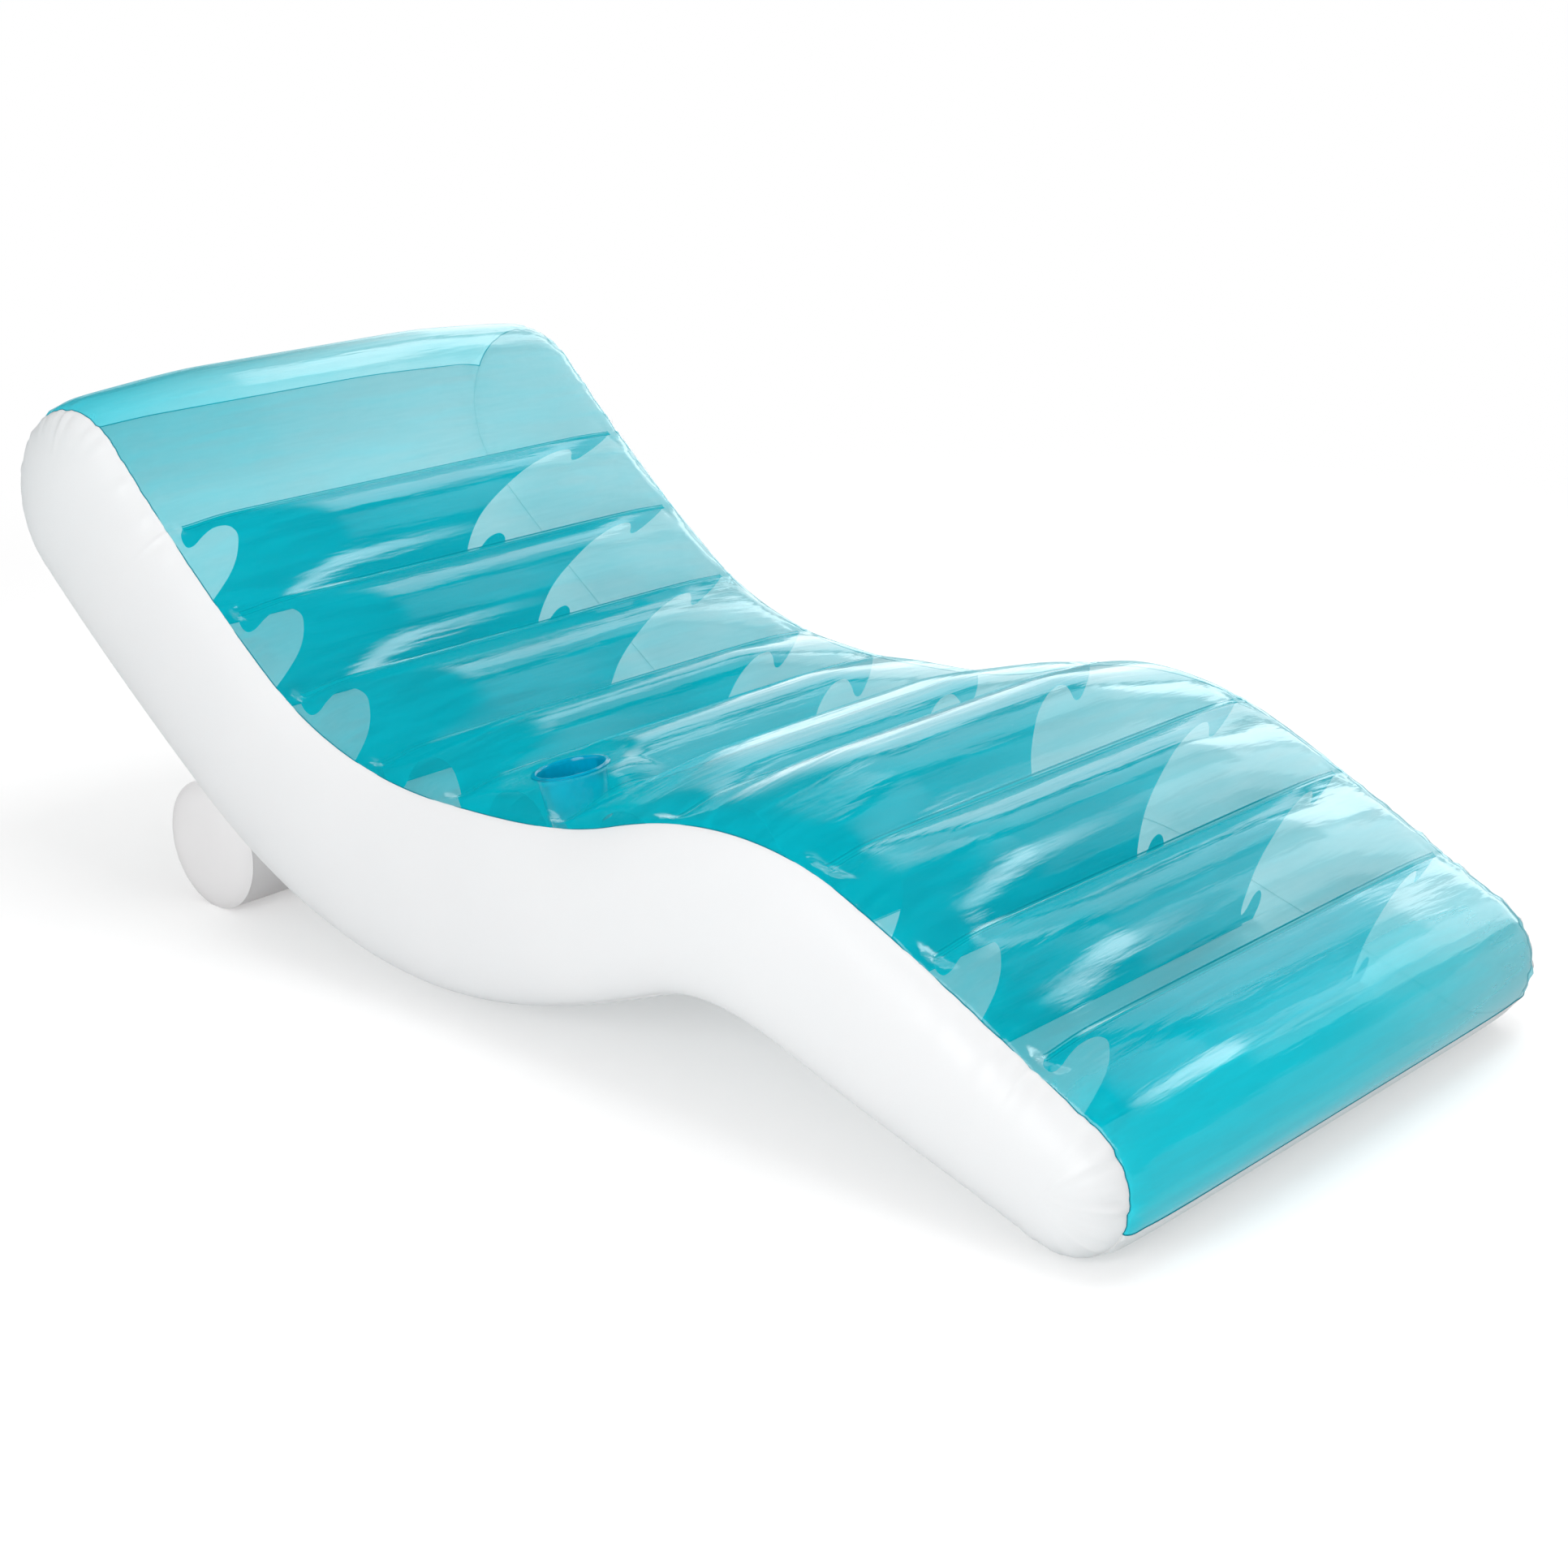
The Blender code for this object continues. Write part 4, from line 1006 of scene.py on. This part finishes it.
def makeBaffle(name, node, place, number):
    # a web with bitten ends that stands under a crease, and the strip that welds it to each film
    rows = {1: faceRow(place, 1), -1: faceRow(place, -1)}
    topHalf, lowHalf = chair["topWeldHalf"], chair["lowWeldHalf"]

    def under(side, y):
        # a point just inside the top film, side 1, or the white one
        return rows[side].point(y / chair["seamHalf"], -baffle["gap"] - 2 * chair["weldRidge"])

    def halfOutline(side, reach):
        # one half of the outline, from the middle of the top to the middle of the bottom
        low = side * topHalf * (1 - (1 - baffle["notch"][-1][0]) * reach)
        notch = []
        for along, down in baffle["notch"]:
            y = side * topHalf * (1 - (1 - along) * reach)
            notch.append(tuple(under(1, y).lerp(under(-1, y), down)))
        ends = rounded([tuple(under(1, side * topHalf)), *notch, tuple(under(-1, low))])
        topSteps, lowSteps = baffle["edgeSteps"]
        return ([tuple(under(1, y)) for y in spread(0.0, side * topHalf, topSteps)[:-1]] + ends
                + [tuple(under(-1, y)) for y in spread(low, 0.0, lowSteps)[1:]])

    near, far = halfOutline(-1, baffle["nearReach"][number]), halfOutline(1, baffle["farReach"][number])
    outline = far + near[::-1][1:-1]
    bm = bmesh.new()
    heading = spineAt(place)[2]
    way = Vector((math.cos(heading), 0.0, math.sin(heading)))
    web = bm.faces.new([bm.verts.new(Vector(p) - way * baffle["film"] / 2) for p in outline])
    grown = bmesh.ops.extrude_face_region(bm, geom=[web])
    bmesh.ops.translate(bm, vec=way * baffle["film"],
                        verts=[g for g in grown["geom"] if isinstance(g, bmesh.types.BMVert)])
    across, along = baffle["flangeSteps"]
    for side, half in ((1, topHalf), (-1, lowHalf)):
        ys = spread(-half, half, across)
        strip = [faceRow(place + off, side) for off in spread(-baffle["flange"], baffle["flange"], along)]
        made = drawnGrid(bm, across, along,
                         lambda c, r: strip[r].point(ys[c] / chair["seamHalf"], -baffle["gap"]))
        faces = {f for v in made for f in v.link_faces}
        bmesh.ops.solidify(bm, geom=list(faces), thickness=baffle["flangeFilm"])
    bmesh.ops.recalc_face_normals(bm, faces=bm.faces)
    made = finished(name, bm, baffleTeal, smoothed=False)
    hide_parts(node)


for i, place in enumerate(welds):
    makeBaffle(f"baffle{i + 1:02d}", f"baffle_{i + 1:02d}", place, i)
print("baffles drawn")

# ---- cup holder


def turnedPiece(name, outline, frameAt, around, material):
    # a round piece from radii and heights, in the given frame
    bm = bmesh.new()
    verts = [bm.verts.new((r, 0.0, h)) for r, h in outline]
    edges = [bm.edges.new((a, b)) for a, b in zip(verts, verts[1:])]
    bmesh.ops.spin(bm, geom=verts + edges, cent=(0, 0, 0), axis=(0, 0, 1), angle=math.tau, steps=around,
                   use_merge=True)
    bmesh.ops.remove_doubles(bm, verts=bm.verts, dist=0.00002)
    bmesh.ops.recalc_face_normals(bm, faces=bm.faces)
    bmesh.ops.transform(bm, matrix=frameAt, verts=bm.verts)
    return finished(name, bm, material)


def makeCup():
    bore, film, deep = cup["bore"], cup["film"], cup["depth"]
    foot = bore - cup["taper"]
    edge = foot - 0.0002
    wall = turnedPiece("cupWell", [
        (foot, -deep), (foot + film, -deep), *((bore + r, h) for r, h in cup["lipLine"]), (foot, -deep),
    ], fittingFrame(cup), cup["round"], cupBlue)
    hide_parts("cup_holder_wall")
    floor = turnedPiece("cupFloor", [
        (0.0, film - deep), (foot * 0.86, film - deep), (foot * 0.93, film + 0.0006 - deep),
        (edge, 0.0010 - deep), (edge, 0.0002 - deep), (0.0, 0.0002 - deep),
    ], fittingFrame(cup), cup["round"], cupBlue)
    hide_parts("cup_holder_floor")


makeCup()
print("cup holder drawn")

# ---- bolster

bolster = {
    "middle": (-0.64764, 0.0, 0.09454),
    "radius": 0.0944,
    "half": 0.396,
    "bulge": 0.016,
    "fullness": 0.8,
    "flat": 0.0232,  # radius of the flat middle of an end disc
    "hole": 0.0114,  # for the valve, in the left one
    "gathers": ((22.0, 0.0, 1.0), (35.86, 1.0, 0.6)),  # number round the seam, phase and share
    "gatherHeight": 0.0008,
    "gatherReach": 0.012,
    "gatherEase": 0.005,
    "gatherInward": 0.6,  # how much of them goes towards the axis
    "bead": 0.0011,
    "beadInset": 0.0006,
    "round": 96,
    "sleeveSteps": 120,
    "endSteps": 18,
}


def gathered(piece, axisAt, seamRadius):
    # small radial gathers beside the round seam
    half = bolster["half"]
    for vert in piece.data.vertices:
        local = vert.co - axisAt
        radius = math.hypot(local.x, local.z)
        angle = math.atan2(local.z, local.x)
        gone = math.hypot(radius - seamRadius, abs(abs(local.y) - half))
        wave = sum(share * math.sin(angle * number + phase) for number, phase, share in bolster["gathers"])
        push = -bolster["gatherHeight"] * (0.5 + 0.5 * wave) * smooth(gone, 0.0, bolster["gatherEase"])
        push *= math.exp(-gone / bolster["gatherReach"])
        if radius > 1e-4:
            vert.co += Vector((local.x / radius, 0.0, local.z / radius)) * push * bolster["gatherInward"]
        if abs(local.y) > half:
            vert.co.y += push * (1 if local.y > 0 else -1)


def makeBolster():
    at = Vector(bolster["middle"])
    radius, half, around = bolster["radius"], bolster["half"], bolster["round"]
    lie = Matrix.Translation(at) @ Matrix.Rotation(math.pi / 2, 4, "X")
    tube = [(radius, h) for h in spread(-half, half, bolster["sleeveSteps"])]
    sleeve = turnedPiece("bolsterSleeve", tube, lie, around, bolsterWhite)
    gathered(sleeve, at, radius)
    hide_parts("bolster_sleeve")
    # an end disc's section, from the seam to the flat middle
    dome = []
    for turn in spread(1.0, 0.28, bolster["endSteps"]):
        share = math.sin(math.pi / 2 * turn)
        dome.append((radius * share, bolster["bulge"] * max(1 - share**4, 0.0) ** bolster["fullness"]))
    dome.append((bolster["flat"], bolster["bulge"]))
    inset = radius - bolster["beadInset"]
    for side, label in ((1, "Left"), (-1, "Right")):
        end = at + Vector((0, side * half, 0))
        out = Matrix.Translation(end) @ Matrix.Rotation(-side * math.pi / 2, 4, "X")
        inner = (bolster["hole"] if side > 0 else 0.0, bolster["bulge"])
        disc = turnedPiece("bolsterEnd" + label, [*dome, inner], out, around, bolsterWhite)
        gathered(disc, at, radius)
        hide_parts("bolster_end_" + label.lower())
        ring = [end + Vector((math.cos(a), 0.0, math.sin(a))) * inset for a in spread(0.0, math.tau, around)[:-1]]
        makeBead("bolsterSeam" + label, ring, bolster["bead"], bolsterWhite, closed=True)


makeBolster()
print("bolster drawn")

# ---- valves keep their own shapes

for name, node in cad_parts.items():
    if "valve" in name:
        node.data.materials.clear()
        node.data.materials.append(vinyl)
